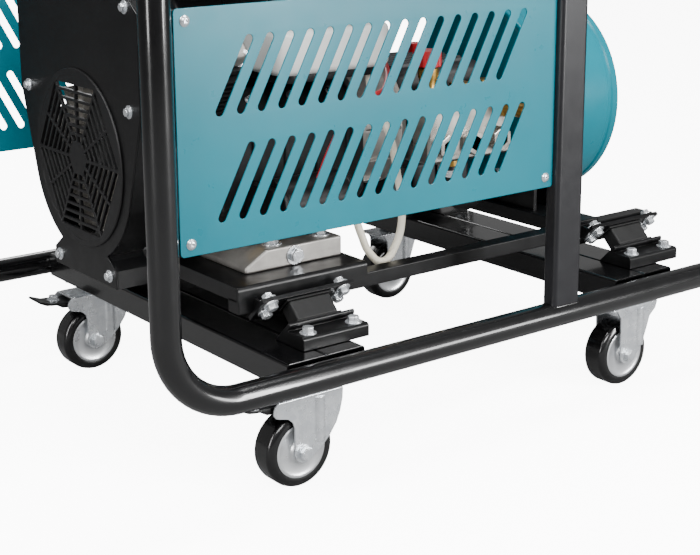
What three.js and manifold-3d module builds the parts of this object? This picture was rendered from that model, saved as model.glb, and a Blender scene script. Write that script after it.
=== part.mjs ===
// Engine-driven pressure washer on four swivel casters: an open frame of bent tube with louvred side
// panels, a V-twin engine and a triplex pump on a sprung cradle, a water buffer drum and a fuel tank.
// Millimetres. +X runs along the machine from the fan end to the drum end, +Y to the far side, +Z up.
// The origin is on the ground under the middle of the machine.

import * as THREE from 'three';
import { mergeVertices } from 'three/addons/utils/BufferGeometryUtils.js';
import Module from 'manifold-3d';

const wasm = await Module();
wasm.setup();

// ---------------------------------------------------------------- driving dimensions

const GAP = 0.3;                       // clearance between pieces that touch
const SHAFT_CLEARANCE = 0.5;           // radial clearance of a shaft in its bore

// Frame
const LOOP_TUBE_D = 36;                // side loop tube
const LOOP_HALF_LENGTH = 527;          // centre of the machine to a leg's centreline
const LOOP_HALF_WIDTH = 340;           // centre of the machine to a side loop's centreline
const CROSSMEMBER_HEIGHT = 36;
const WHEEL_D = 100;
const CASTER_HEAD_HEIGHT = 44;         // top of the tread to the underside of a crossmember
const BASE_Z = WHEEL_D + CASTER_HEAD_HEIGHT + CROSSMEMBER_HEIGHT / 2;  // bottom tube's centreline
const TOP_Z = BASE_Z + 700;            // top tube's centreline
const LOOP_BEND_R = 94;                // centreline bend radius of the loop corners
const LOOP_SPLIT_Z = BASE_Z + 538;              // where the upper tubes stand on the lower ones
const CROSS_TUBE_D = 28;               // tubes that join the two sides at the top
const FRONT_CROSS_TUBE_X = -360;
const REAR_CROSS_TUBE_X = 141;
const POST_X = 100;                    // rectangular post's centre
const POST_WIDTH = 50;                 // along the machine
const POST_DEPTH = 25;                 // across the machine
const POST_CORNER_R = 7;

// Base crossmembers: pairs of rectangular tubes side by side
const CROSSMEMBER_X = 290;
const CROSSMEMBER_WIDTH = 120;
const CROSSMEMBER_WALL = 3;

// Louvred side panels
const PANEL_LEFT_X = -505;
const PANEL_BOTTOM_Z = BASE_Z + 184;
const PANEL_TOP_Z = BASE_Z + 462;
const PANEL_THICKNESS = 2;
const PANEL_PROUD = 2;                 // outer face beyond the loop's centreline
const PANEL_CORNER_R = 5;
const SLOT_COUNT = 16;
const SLOT_PITCH = 28.2;
const SLOT_WIDTH = 11;
const SLOT_RUN = 41;                   // slant: run along X between the end centres
const SLOT_RISE = 78;                  // and rise between them
const SLOT_FIRST_INSET = 56;           // panel end to the first slot's lower end centre
const SLOT_ROW_Z = [BASE_Z + 222, BASE_Z + 344];         // lower end centres of the two rows
const TAB_SIZE = 28;
const TAB_THICKNESS = 3;

// Casters
const WHEEL_WIDTH = 38;
const WHEEL_HUB_WIDTH = 43;
const WHEEL_TRAIL = 22;                // swivel axis to the wheel axis
const CASTER_Y = 277;
const FRONT_CASTER_X = -290;
const REAR_CASTER_X = 306;
const CASTER_PLATE_LENGTH = 90;
const CASTER_PLATE_WIDTH = 80;
const CASTER_PLATE_THICKNESS = 5;
const CASTER_RACE_R = 30;
const CASTER_RACE_HEIGHT = 14;
const FORK_THICKNESS = 3;
const FORK_SIDE_CLEARANCE = 1.5;       // hub end to the fork leg
const AXLE_R = 6;
const PEDAL_DROP = 5;

// Sprung cradle and its V-set rubber mounts
const RAIL_OUTER_Y = 212;
const RAIL_WIDTH = 25;
const RAIL_BOTTOM_Z = BASE_Z + 52;
const RAIL_TOP_Z = BASE_Z + 72;
const RAIL_FRONT_X = -347;
const RAIL_REAR_X = 420;
const FRONT_MOUNT_X = -255;
const REAR_MOUNT_X = 340;
const BRIDGE_FRONT_X = -347;           // folded bridge plate under the engine feet
const BRIDGE_REAR_X = -140;
const BRIDGE_TOP_Z = BASE_Z + 88;
const BRIDGE_SHEET = 4;
const REAR_BEAM_X = [250, 310];
const REAR_BEAM_TOP_Z = BASE_Z + 78;
const MOUNT_PLATE_LENGTH = 145;
const MOUNT_PLATE_THICKNESS = 6;
const RUBBER_LENGTH = 70;              // along X
const RUBBER_DEPTH = 28;
const RUBBER_HEIGHT = 34;              // along the slanted load axis
const LOWER_BRACKET_LENGTH = 104;
const LOWER_BRACKET_OUTER_Y = 297;
const LOWER_BRACKET_FACE_HEIGHT = 18;

// Engine
const CRANK_Z = BASE_Z + 236;
const CRANKSHAFT_R = 16;
const CRANKCASE_FRONT_X = -395;
const CRANKCASE_REAR_X = -60;
const CRANKCASE_HALF_WIDTH = 105;
const CRANKCASE_BOTTOM_Z = BASE_Z + 128;
const CRANKCASE_TOP_Z = BASE_Z + 310;
const FOOT_X = [-306, -149];
const FOOT_HALF_WIDTH = 167;
const FOOT_HEIGHT = 28;
const V_HALF_ANGLE = 45;               // degrees from vertical to each cylinder
const CYLINDER_BORE_CORE_R = 43;
const CYLINDER_BASE_R = 118;           // crank axis to the cylinder's foot
const CYLINDER_FIN_COUNT = 6;
const CYLINDER_FIN_PITCH = 14.5;
const CYLINDER_FIN_THICKNESS = 3.5;
const CYLINDER_FIN_SIZE = 96;
const ROCKER_COVER_HEIGHT = 34;
const NEAR_CYLINDER_X = -346;
const FAR_CYLINDER_X = -306;
const HOUSING_FRONT_X = -452;
const HOUSING_DEPTH = 52;
const HOUSING_WALL = 3;
const HOUSING_ARC_R = 136;             // lower outline, round the crank axis
const HOUSING_HALF_WIDTH = 165;
const GUARD_OPENING_R = 116;
const GUARD_THICKNESS = 6;
const GUARD_SLOT_WIDTH = 8;
const GUARD_SLOT_PITCH = 15;
const GUARD_SLOT_ROWS = 5;
const GUARD_FIRST_APOTHEM = 26;
const GUARD_RIB = 4.5;
const FAN_R = 104;
const FAN_BLADES = 11;

// Pump side
const BELL_LENGTH = 80;
const BELL_R = 98;
const BELL_WALL = 8;
const BELL_BORE_R = 40;
const COUPLING_R = 32;
const PUMP_SHAFT_R = 14;
const PUMP_LENGTH = 178;
const PUMP_BODY_Y = [-60, 95];
const PUMP_SUMP_DEPTH = 65;            // oil sump under the pump's crankcase
const PUMP_SUMP_INSET = 10;
const PUMP_BODY_Z = [BASE_Z + 163, BASE_Z + 313];
const MANIFOLD_DEPTH = 78;
const MANIFOLD_Z = [BASE_Z + 183, BASE_Z + 278];
const DRUM_R = 160;
const DRUM_FRONT_X = 240;
const DRUM_REAR_X = 401;
const DRUM_CENTRE_Z = BASE_Z + 240;
const DRUM_WALL = 3;
const DRUM_EDGE_R = 7;
const DRUM_NECK_R = 27;
const DRUM_SIDES = 28;

// Tank, controls and battery
const TANK_X = [-330, 100];
const TANK_HALF_WIDTH = 210;
const TANK_BOTTOM_Z = BASE_Z + 538;
const TANK_WALL = 3;
const TANK_FLANGE_REACH = 55;
const TANK_CORNER_R = 30;
const TANK_NECK_R = 26;
const CONTROL_X = [-84, 122];
const CONTROL_Z = [BASE_Z + 490, BASE_Z + 630];
const CONTROL_DEPTH = 42;
const BATTERY_SIZE = [172, 122, 158];
const BATTERY_FLOOR_Z = BASE_Z + 110;

// ---------------------------------------------------------------- dependent sizes

const LOOP_TUBE_R = LOOP_TUBE_D / 2;
const CROSSMEMBER_BOTTOM_Z = BASE_Z - CROSSMEMBER_HEIGHT / 2;
const CROSSMEMBER_TOP_Z = BASE_Z + CROSSMEMBER_HEIGHT / 2;
const CASTER_TOP_Z = CROSSMEMBER_BOTTOM_Z - GAP;
const PANEL_RIGHT_X = POST_X - POST_WIDTH / 2 - GAP;
const PANEL_OUTER_Y = LOOP_HALF_WIDTH + PANEL_PROUD;
const PANEL_INNER_Y = PANEL_OUTER_Y - PANEL_THICKNESS;
const RAIL_INNER_Y = RAIL_OUTER_Y - RAIL_WIDTH;
const WHEEL_R = WHEEL_D / 2;
const DEG = Math.PI / 180;

// ---------------------------------------------------------------- colours

const finish = (color, roughness, metalness) => new THREE.MeshStandardMaterial({ color, roughness, metalness });
const BLACK_POWDER = finish(0x17181a, 0.35, 0.1);
const CHARCOAL = finish(0x33343a, 0.45, 0.1);
const TEAL_PAINT = finish(0x2aa3b4, 0.4, 0.1);
const ZINC = finish(0xa9adb0, 0.35, 0.9);
const RUBBER = finish(0x151515, 0.85, 0);
const CAST_ALUMINIUM = finish(0xa7a5a2, 0.55, 0.8);
const DARK_CASTING = finish(0x3a3b3e, 0.6, 0.6);
const BLACK_PLASTIC = finish(0x101112, 0.5, 0);
const BRASS = finish(0xb08d4a, 0.35, 0.9);
const PALE_COVER = finish(0xe4e5e3, 0.5, 0);
const CREAM_HOSE = finish(0xe8e4d4, 0.6, 0);
const STEEL = finish(0x8b8d90, 0.35, 0.9);
const RED_PLASTIC = finish(0xa31620, 0.45, 0);

// ---------------------------------------------------------------- solids from three.js geometry

function signedVolume(positions, triangles) {
  let volume = 0;
  const corner = (i) => new THREE.Vector3().fromArray(positions, 3 * i);
  for (let i = 0; i < triangles.length; i += 3) {
    const [a, b, c] = [corner(triangles[i]), corner(triangles[i + 1]), corner(triangles[i + 2])];
    volume += a.dot(b.cross(c)) / 6;
  }
  return volume;
}

// A closed three.js geometry as a solid, turned outside out if its faces point in.
function solid(geometry) {
  const bare = geometry.clone();
  bare.deleteAttribute('normal');
  bare.deleteAttribute('uv');
  const merged = mergeVertices(bare, 1e-3);
  const vertProperties = new Float32Array(merged.attributes.position.array);
  const triVerts = new Uint32Array(merged.index.array);
  if (signedVolume(vertProperties, triVerts) < 0) {
    for (let i = 0; i < triVerts.length; i += 3) {
      [triVerts[i + 1], triVerts[i + 2]] = [triVerts[i + 2], triVerts[i + 1]];
    }
  }
  return new wasm.Manifold(new wasm.Mesh({ numProp: 3, vertProperties, triVerts }));
}

const join = (...parts) => parts.reduce((sum, part) => sum.add(part));
const cut = (body, ...tools) => tools.reduce((left, tool) => left.subtract(tool), body);

function piece(name, body, material) {
  const { vertProperties, triVerts } = body.getMesh();
  const geometry = new THREE.BufferGeometry();
  geometry.setAttribute('position', new THREE.BufferAttribute(new Float32Array(vertProperties), 3));
  geometry.setIndex(new THREE.BufferAttribute(new Uint32Array(triVerts), 1));
  geometry.computeVertexNormals();
  const mesh = new THREE.Mesh(geometry, material);
  mesh.name = name;
  return mesh;
}

function block(xs, ys, zs) {
  const geometry = new THREE.BoxGeometry(xs[1] - xs[0], ys[1] - ys[0], zs[1] - zs[0]);
  geometry.translate((xs[0] + xs[1]) / 2, (ys[0] + ys[1]) / 2, (zs[0] + zs[1]) / 2);
  return solid(geometry);
}

// Shape axes and extrusion axis of a prism along each machine axis; every matrix keeps the handedness.
const PRISM_TURN = {
  x: new THREE.Matrix4().makeBasis(
    new THREE.Vector3(0, 1, 0), new THREE.Vector3(0, 0, 1), new THREE.Vector3(1, 0, 0)),
  y: new THREE.Matrix4().makeBasis(
    new THREE.Vector3(1, 0, 0), new THREE.Vector3(0, 0, 1), new THREE.Vector3(0, -1, 0)),
  z: new THREE.Matrix4(),
};

// A prism of a THREE.Shape drawn in (y, z), (x, z) or (x, y), between two stations of its axis.
function prism(axis, shape, from, to, curveSegments = 3) {
  const geometry = new THREE.ExtrudeGeometry(shape, { depth: to - from, bevelEnabled: false, curveSegments });
  geometry.applyMatrix4(PRISM_TURN[axis]);
  if (axis === 'x') geometry.translate(from, 0, 0);
  if (axis === 'y') geometry.translate(0, to, 0);
  if (axis === 'z') geometry.translate(0, 0, from);
  return solid(geometry);
}

const polygon = (points) => new THREE.Shape(points.map(([a, b]) => new THREE.Vector2(a, b)));

function roundedRectangle(a0, a1, b0, b1, radius) {
  const shape = new THREE.Shape();
  shape.absarc(a1 - radius, b1 - radius, radius, 0, Math.PI / 2);
  shape.absarc(a0 + radius, b1 - radius, radius, Math.PI / 2, Math.PI);
  shape.absarc(a0 + radius, b0 + radius, radius, Math.PI, 1.5 * Math.PI);
  shape.absarc(a1 - radius, b0 + radius, radius, 1.5 * Math.PI, 2 * Math.PI);
  return shape;
}

// A cylinder along a machine axis through (a, b), which are the other two coordinates in X, Y, Z order.
function rod(axis, radius, from, to, a, b, sides = 24) {
  const geometry = new THREE.CylinderGeometry(radius, radius, to - from, sides);
  const middle = (from + to) / 2;
  if (axis === 'x') geometry.rotateZ(-Math.PI / 2).translate(middle, a, b);
  if (axis === 'y') geometry.translate(a, middle, b);
  if (axis === 'z') geometry.rotateX(Math.PI / 2).translate(a, b, middle);
  return solid(geometry);
}

// A turned body: a closed profile of (radius, station) points spun about a machine axis.
function turned(axis, profile, at, sides = 32) {
  const points = [...profile, profile[0]].map(([r, s]) => new THREE.Vector2(r, s));
  const geometry = new THREE.LatheGeometry(points, sides);
  if (axis === 'x') geometry.rotateZ(-Math.PI / 2);
  if (axis === 'z') geometry.rotateX(Math.PI / 2);
  return solid(geometry.translate(...at));
}

// A path of straight runs and round bends, stepped only where it bends.
class BentPath extends THREE.Curve {
  constructor(corners, bendRadius, bendSteps = 6) {
    super();
    const points = corners.map((p) => new THREE.Vector3(...p));
    this.stations = [{ point: points[0], tangent: points[1].clone().sub(points[0]).normalize() }];
    for (let i = 1; i < points.length - 1; i += 1) this.addBend(points, i, bendRadius, bendSteps);
    const last = points.length - 1;
    this.stations.push({ point: points[last], tangent: points[last].clone().sub(points[last - 1]).normalize() });
  }

  addBend(points, i, bendRadius, bendSteps) {
    const before = points[i].clone().sub(points[i - 1]).normalize();
    const after = points[i + 1].clone().sub(points[i]).normalize();
    const turn = before.angleTo(after);
    const normal = after.clone().addScaledVector(before, -after.dot(before)).normalize();
    const start = points[i].clone().addScaledVector(before, -bendRadius * Math.tan(turn / 2));
    const centre = start.clone().addScaledVector(normal, bendRadius);
    for (let step = 0; step <= bendSteps; step += 1) {
      const angle = (turn * step) / bendSteps;
      const point = centre.clone()
        .addScaledVector(before, bendRadius * Math.sin(angle))
        .addScaledVector(normal, -bendRadius * Math.cos(angle));
      const tangent = before.clone().multiplyScalar(Math.cos(angle)).addScaledVector(normal, Math.sin(angle));
      this.stations.push({ point, tangent });
    }
  }

  get steps() {
    return this.stations.length - 1;
  }

  station(t) {
    return this.stations[Math.round(t * this.steps)];
  }

  getPoint(t) {
    return this.station(t).point.clone();
  }

  getPointAt(t) {
    return this.getPoint(t);
  }

  getTangentAt(t) {
    return this.station(t).tangent.clone();
  }
}

// A full arc is divided into two segments for each curve segment asked for.
function sweep(path, radius, steps, sides) {
  const section = new THREE.Shape().absarc(0, 0, radius, 0, 2 * Math.PI);
  const options = { steps, bevelEnabled: false, curveSegments: sides / 2, extrudePath: path };
  return solid(new THREE.ExtrudeGeometry(section, options));
}

function bentTube(corners, diameter, bendRadius, sides = 12) {
  const path = new BentPath(corners, bendRadius);
  return sweep(path, diameter / 2, path.steps, sides);
}

function hose(points, diameter, steps, sides = 8) {
  const path = new THREE.CatmullRomCurve3(points.map((p) => new THREE.Vector3(...p)), false, 'centripetal');
  return sweep(path, diameter / 2, steps, sides);
}

// The two sides of the machine: the near side is at -Y.
const SIDES = [{ side: 'near', s: -1 }, { side: 'far', s: 1 }];
const span = (s, inner, outer) => (s > 0 ? [inner, outer] : [-outer, -inner]);

// ---------------------------------------------------------------- frame

function lowerLoop(s) {
  const y = s * LOOP_HALF_WIDTH;
  const [x, top] = [LOOP_HALF_LENGTH, LOOP_SPLIT_Z];
  const tube = bentTube([[-x, y, top], [-x, y, BASE_Z], [x, y, BASE_Z], [x, y, top]], LOOP_TUBE_D, LOOP_BEND_R);
  const tabs = [PANEL_BOTTOM_Z, PANEL_TOP_Z - TAB_SIZE].map((z) => block(
    [-LOOP_HALF_LENGTH, PANEL_LEFT_X + TAB_SIZE],
    span(s, PANEL_INNER_Y - GAP - TAB_THICKNESS, PANEL_INNER_Y - GAP),
    [z, z + TAB_SIZE],
  ));
  return join(tube, ...tabs);
}

function upperFrame() {
  const x = LOOP_HALF_LENGTH;
  const bottom = LOOP_SPLIT_Z + GAP;
  const arches = SIDES.map(({ s }) => {
    const y = s * LOOP_HALF_WIDTH;
    return bentTube([[-x, y, bottom], [-x, y, TOP_Z], [x, y, TOP_Z], [x, y, bottom]], LOOP_TUBE_D, LOOP_BEND_R);
  });
  const crossTubes = [FRONT_CROSS_TUBE_X, REAR_CROSS_TUBE_X].map((at) => (
    rod('y', CROSS_TUBE_D / 2, -LOOP_HALF_WIDTH, LOOP_HALF_WIDTH, at, TOP_Z, 14)
  ));
  return join(...arches, ...crossTubes);
}

function post(s) {
  const y = s * LOOP_HALF_WIDTH;
  const outline = roundedRectangle(
    POST_X - POST_WIDTH / 2, POST_X + POST_WIDTH / 2, y - POST_DEPTH / 2, y + POST_DEPTH / 2, POST_CORNER_R);
  const tabs = [PANEL_BOTTOM_Z, PANEL_TOP_Z - TAB_SIZE].map((z) => block(
    [PANEL_RIGHT_X - TAB_SIZE, POST_X],
    span(s, PANEL_INNER_Y - GAP - TAB_THICKNESS, PANEL_INNER_Y - GAP),
    [z, z + TAB_SIZE],
  ));
  const coped = [BASE_Z, TOP_Z].map((z) => rod('x', LOOP_TUBE_R + GAP, POST_X - POST_WIDTH, POST_X + POST_WIDTH, y, z));
  return cut(join(prism('z', outline, BASE_Z, TOP_Z, 1), ...tabs), ...coped);
}

function crossmember(end) {
  const middle = end * CROSSMEMBER_X;
  const half = CROSSMEMBER_WIDTH / 2;
  const reach = LOOP_HALF_WIDTH - LOOP_TUBE_R - GAP;
  const shell = block([middle - half, middle + half], [-reach, reach], [CROSSMEMBER_BOTTOM_Z, CROSSMEMBER_TOP_Z]);
  const inner = [CROSSMEMBER_BOTTOM_Z + CROSSMEMBER_WALL, CROSSMEMBER_TOP_Z - CROSSMEMBER_WALL];
  const cells = [[-half + CROSSMEMBER_WALL, -CROSSMEMBER_WALL], [CROSSMEMBER_WALL, half - CROSSMEMBER_WALL]];
  return cut(shell, ...cells.map(([a, b]) => block([middle + a, middle + b], [-reach - 1, reach + 1], inner)));
}

function slotHole(x, z, run) {
  const radius = SLOT_WIDTH / 2;
  const lean = Math.atan2(SLOT_RISE, run);
  const hole = new THREE.Path();
  hole.absarc(x, z, radius, lean + Math.PI / 2, lean + 1.5 * Math.PI);
  hole.absarc(x + run, z + SLOT_RISE, radius, lean - Math.PI / 2, lean + Math.PI / 2);
  return hole;
}

// The same pressing serves both sides, turned round, so its slots lean the other way on the far side.
function sidePanel(s) {
  const shape = roundedRectangle(PANEL_LEFT_X, PANEL_RIGHT_X, PANEL_BOTTOM_Z, PANEL_TOP_Z, PANEL_CORNER_R);
  for (const z of SLOT_ROW_Z) {
    for (let i = 0; i < SLOT_COUNT; i += 1) {
      const inset = SLOT_FIRST_INSET + i * SLOT_PITCH;
      shape.holes.push(s < 0 ? slotHole(PANEL_LEFT_X + inset, z, SLOT_RUN) : slotHole(PANEL_RIGHT_X - inset, z, -SLOT_RUN));
    }
  }
  return prism('y', shape, ...span(s, PANEL_INNER_Y, PANEL_OUTER_Y), 1);
}

// ---------------------------------------------------------------- casters

const CASTERS = [
  { name: 'front_near', x: FRONT_CASTER_X, y: -CASTER_Y, braked: true },
  { name: 'front_far', x: FRONT_CASTER_X, y: CASTER_Y, braked: true },
  { name: 'rear_near', x: REAR_CASTER_X, y: -CASTER_Y, braked: false },
  { name: 'rear_far', x: REAR_CASTER_X, y: CASTER_Y, braked: false },
];
const RACE_BOTTOM_Z = CASTER_TOP_Z - CASTER_PLATE_THICKNESS - CASTER_RACE_HEIGHT;
const CROWN_TOP_Z = RACE_BOTTOM_Z - GAP;
const FORK_INNER = WHEEL_HUB_WIDTH / 2 + FORK_SIDE_CLEARANCE;
const FORK_OUTER = FORK_INNER + FORK_THICKNESS;
const PEDAL_PIVOT = { x: -34, z: CROWN_TOP_Z - 13 };

function casterPlate({ x, y }) {
  const [halfLength, halfWidth] = [CASTER_PLATE_LENGTH / 2, CASTER_PLATE_WIDTH / 2];
  const outline = roundedRectangle(x - halfLength, x + halfLength, y - halfWidth, y + halfWidth, 6);
  const plate = prism('z', outline, CASTER_TOP_Z - CASTER_PLATE_THICKNESS, CASTER_TOP_Z, 1);
  return join(plate, rod('z', CASTER_RACE_R, RACE_BOTTOM_Z, CASTER_TOP_Z - 1, x, y, 20));
}

// One side of the fork, seen along Y: a broad crown edge that tapers down to the axle.
function forkLegOutline(x) {
  const shape = new THREE.Shape();
  const axleX = x - WHEEL_TRAIL;
  shape.moveTo(axleX - 38, CROWN_TOP_Z);
  shape.quadraticCurveTo(axleX - 50, CROWN_TOP_Z - 10, axleX - 42, CROWN_TOP_Z - 21);
  shape.quadraticCurveTo(axleX - 15, CROWN_TOP_Z - 26, axleX - 14, CROWN_TOP_Z - 40);
  shape.lineTo(axleX - 14, WHEEL_R);
  shape.absarc(axleX, WHEEL_R, 14, Math.PI, 1.72 * Math.PI);
  shape.quadraticCurveTo(axleX + 54, WHEEL_R + 18, axleX + 61, CROWN_TOP_Z - 16);
  shape.lineTo(axleX + 62, CROWN_TOP_Z);
  return shape;
}

function casterFork({ x, y }) {
  const legs = [-1, 1].map((side) => {
    const inner = y + side * FORK_INNER;
    const outer = y + side * FORK_OUTER;
    return prism('y', forkLegOutline(x), Math.min(inner, outer), Math.max(inner, outer), 2);
  });
  const crown = prism('z', roundedRectangle(x - 58, x + 39, y - FORK_OUTER + 0.5, y + FORK_OUTER - 0.5, 8),
    CROWN_TOP_Z - FORK_THICKNESS - 1, CROWN_TOP_Z, 1);
  const axleX = x - WHEEL_TRAIL;
  const axle = rod('y', AXLE_R, y - FORK_OUTER - 4, y + FORK_OUTER + 4, axleX, WHEEL_R, 16);
  const nuts = [-1, 1].map((side) => {
    const at = y + side * (FORK_OUTER + 3.5);
    return rod('y', 10.4, at - 4, at + 4, axleX, WHEEL_R, 6);
  });
  return join(crown, ...legs, axle, ...nuts);
}

function casterWheel({ x, y }) {
  const [r, w, hub] = [WHEEL_R, WHEEL_WIDTH / 2, WHEEL_HUB_WIDTH / 2];
  const bore = AXLE_R + SHAFT_CLEARANCE;
  const profile = [
    [bore, -hub], [14, -hub], [r - 13, -w], [r - 5, -w], [r, -w + 6],
    [r, w - 6], [r - 5, w], [r - 13, w], [14, hub], [bore, hub],
  ];
  return turned('y', profile, [x - WHEEL_TRAIL, y, WHEEL_R], 20);
}

// Brake pedal: a pressed tongue behind the crown; pushed down, it pinches the tyre.
function brakePedal({ x, y }) {
  const pivot = x + PEDAL_PIVOT.x;
  const outline = polygon([
    [pivot + 6, PEDAL_PIVOT.z + 3], [pivot - 2, PEDAL_PIVOT.z + 5], [pivot - 62, PEDAL_PIVOT.z + 9],
    [pivot - 76, PEDAL_PIVOT.z + 15], [pivot - 78, PEDAL_PIVOT.z + 11], [pivot - 66, PEDAL_PIVOT.z + 3],
    [pivot - 4, PEDAL_PIVOT.z - PEDAL_DROP + 1], [pivot + 6, PEDAL_PIVOT.z - 3],
  ]);
  return prism('y', outline, y - FORK_INNER + 2, y + FORK_INNER - 2);
}

// ---------------------------------------------------------------- cradle and mounts

// The mounts lean at 45 degrees. u measures along the load axis and v across it, both from the
// outer edge of the rail's underside: u outward and down, v outward and up.
const HALF_ROOT = Math.SQRT1_2;
function slanted(s, u, v) {
  return [s * (RAIL_OUTER_Y + HALF_ROOT * (u + v)), RAIL_BOTTOM_Z + HALF_ROOT * (v - u)];
}
const slantedBox = (s, u0, u1, v0, v1) => polygon([
  slanted(s, u0, v0), slanted(s, u1, v0), slanted(s, u1, v1), slanted(s, u0, v1)]);

const RUBBER_TOP_U = MOUNT_PLATE_THICKNESS - 1 + GAP;
const RUBBER_BOTTOM_U = RUBBER_TOP_U + RUBBER_HEIGHT;
const RUBBER_V = [2, 2 + RUBBER_DEPTH];

function rubberMount(x, s) {
  return prism('x', slantedBox(s, RUBBER_TOP_U, RUBBER_BOTTOM_U, ...RUBBER_V),
    x - RUBBER_LENGTH / 2, x + RUBBER_LENGTH / 2);
}

function lowerBracket(x, s) {
  const floor = CROSSMEMBER_TOP_Z + GAP;
  const seat = RUBBER_BOTTOM_U + GAP;
  const top = slanted(s, seat, RUBBER_V[1] + 3);
  const footY = Math.abs(top[0]) - (top[1] - floor);
  const outline = polygon([
    [s * LOWER_BRACKET_OUTER_Y, floor], [s * LOWER_BRACKET_OUTER_Y, floor + LOWER_BRACKET_FACE_HEIGHT],
    [s * (Math.abs(top[0]) + 6), floor + LOWER_BRACKET_FACE_HEIGHT], [s * (Math.abs(top[0]) + 6), top[1]],
    top, [s * footY, floor],
  ]);
  return prism('x', outline, x - LOWER_BRACKET_LENGTH / 2, x + LOWER_BRACKET_LENGTH / 2);
}

// A sheet folded down at both long edges, open below.
function foldedBridge(xs, halfWidth, bottom, top) {
  const sheet = BRIDGE_SHEET;
  return prism('x', polygon([
    [-halfWidth, bottom], [-halfWidth + sheet, bottom], [-halfWidth + sheet, top - sheet],
    [halfWidth - sheet, top - sheet], [halfWidth - sheet, bottom], [halfWidth, bottom],
    [halfWidth, top], [-halfWidth, top],
  ]), ...xs);
}

function cradle() {
  const rails = SIDES.map(({ s }) => {
    const outline = polygon([
      [RAIL_FRONT_X, RAIL_BOTTOM_Z], [RAIL_REAR_X - 35, RAIL_BOTTOM_Z], [RAIL_REAR_X, RAIL_TOP_Z - 4],
      [RAIL_REAR_X, RAIL_TOP_Z], [RAIL_FRONT_X, RAIL_TOP_Z],
    ]);
    return prism('y', outline, ...span(s, RAIL_INNER_Y, RAIL_OUTER_Y));
  });
  const plates = SIDES.flatMap(({ s }) => [FRONT_MOUNT_X, REAR_MOUNT_X].map((x) => prism(
    'x', slantedBox(s, -1, MOUNT_PLATE_THICKNESS - 1, -12, RUBBER_V[1] + 4),
    x - MOUNT_PLATE_LENGTH / 2, x + MOUNT_PLATE_LENGTH / 2,
  )));
  const bridge = foldedBridge([BRIDGE_FRONT_X, BRIDGE_REAR_X], RAIL_OUTER_Y, RAIL_TOP_Z - 2, BRIDGE_TOP_Z);
  const beam = block(REAR_BEAM_X, [-RAIL_OUTER_Y + 2, RAIL_OUTER_Y - 2], [RAIL_BOTTOM_Z + 4, REAR_BEAM_TOP_Z]);
  const saddleXs = [DRUM_FRONT_X + 22, REAR_BEAM_X[1] - 4];
  const saddle = block(saddleXs, [-118, 118], [REAR_BEAM_TOP_Z - 4, REAR_BEAM_TOP_Z + 52]);
  const seat = rod('x', DRUM_R + GAP, saddleXs[0] - 1, saddleXs[1] + 1, 0, DRUM_CENTRE_Z, DRUM_SIDES);
  const throat = block([saddleXs[0] + 6, saddleXs[1] - 6], [-130, 130], [REAR_BEAM_TOP_Z, REAR_BEAM_TOP_Z + 60]);
  return join(...rails, ...plates, bridge, beam, cut(saddle, seat, throat));
}

// ---------------------------------------------------------------- engine

function crankcase() {
  const w = CRANKCASE_HALF_WIDTH;
  const [bottom, top] = [CRANKCASE_BOTTOM_Z, CRANKCASE_TOP_Z];
  const body = prism('x', polygon([
    [-w + 25, bottom], [w - 25, bottom], [w, bottom + 30], [w, CRANK_Z + 20], [w - 55, top], [-w + 55, top],
    [-w, CRANK_Z + 20], [-w, bottom + 30],
  ]), CRANKCASE_FRONT_X, CRANKCASE_REAR_X);
  const footBottom = BRIDGE_TOP_Z + GAP;
  const feet = block(FOOT_X, [-FOOT_HALF_WIDTH, FOOT_HALF_WIDTH], [footBottom, footBottom + FOOT_HEIGHT]);
  const pedestal = block([FOOT_X[0] + 16, FOOT_X[1] - 16], [-w + 6, w - 6], [footBottom + 10, bottom + 10]);
  const pads = SIDES.map(({ s }) => {
    const [x, angle] = [s < 0 ? NEAR_CYLINDER_X : FAR_CYLINDER_X, s * V_HALF_ANGLE * DEG];
    const pad = new THREE.BoxGeometry(CYLINDER_FIN_SIZE - 14, 82, 60);
    pad.translate(0, 0, CYLINDER_BASE_R - 30).rotateX(-angle).translate(x, 0, CRANK_Z);
    return solid(pad);
  });
  const bore = rod('x', CRANKSHAFT_R + SHAFT_CLEARANCE, CRANKCASE_FRONT_X - 30, CRANKCASE_REAR_X + 1, 0, CRANK_Z);
  return cut(join(body, pedestal, feet, ...pads), bore);
}

function cylinder(x, s) {
  const finsTop = CYLINDER_BASE_R + CYLINDER_FIN_COUNT * CYLINDER_FIN_PITCH;
  const half = CYLINDER_FIN_SIZE / 2;
  const core = rod('z', CYLINDER_BORE_CORE_R, CYLINDER_BASE_R + GAP, finsTop, 0, 0, 16);
  const fins = Array.from({ length: CYLINDER_FIN_COUNT }, (_, i) => {
    const at = CYLINDER_BASE_R + CYLINDER_FIN_PITCH * (i + 0.5);
    return block([-half, half], [-half, half], [at, at + CYLINDER_FIN_THICKNESS]);
  });
  const cover = prism('z', roundedRectangle(-half + 6, half - 6, -half + 10, half - 10, 14),
    finsTop - 2, finsTop + ROCKER_COVER_HEIGHT, 1);
  const turn = new THREE.Matrix4().makeTranslation(x, 0, CRANK_Z)
    .multiply(new THREE.Matrix4().makeRotationX(-s * V_HALF_ANGLE * DEG));
  return join(core, ...fins, cover).transform(turn.elements);
}

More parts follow.
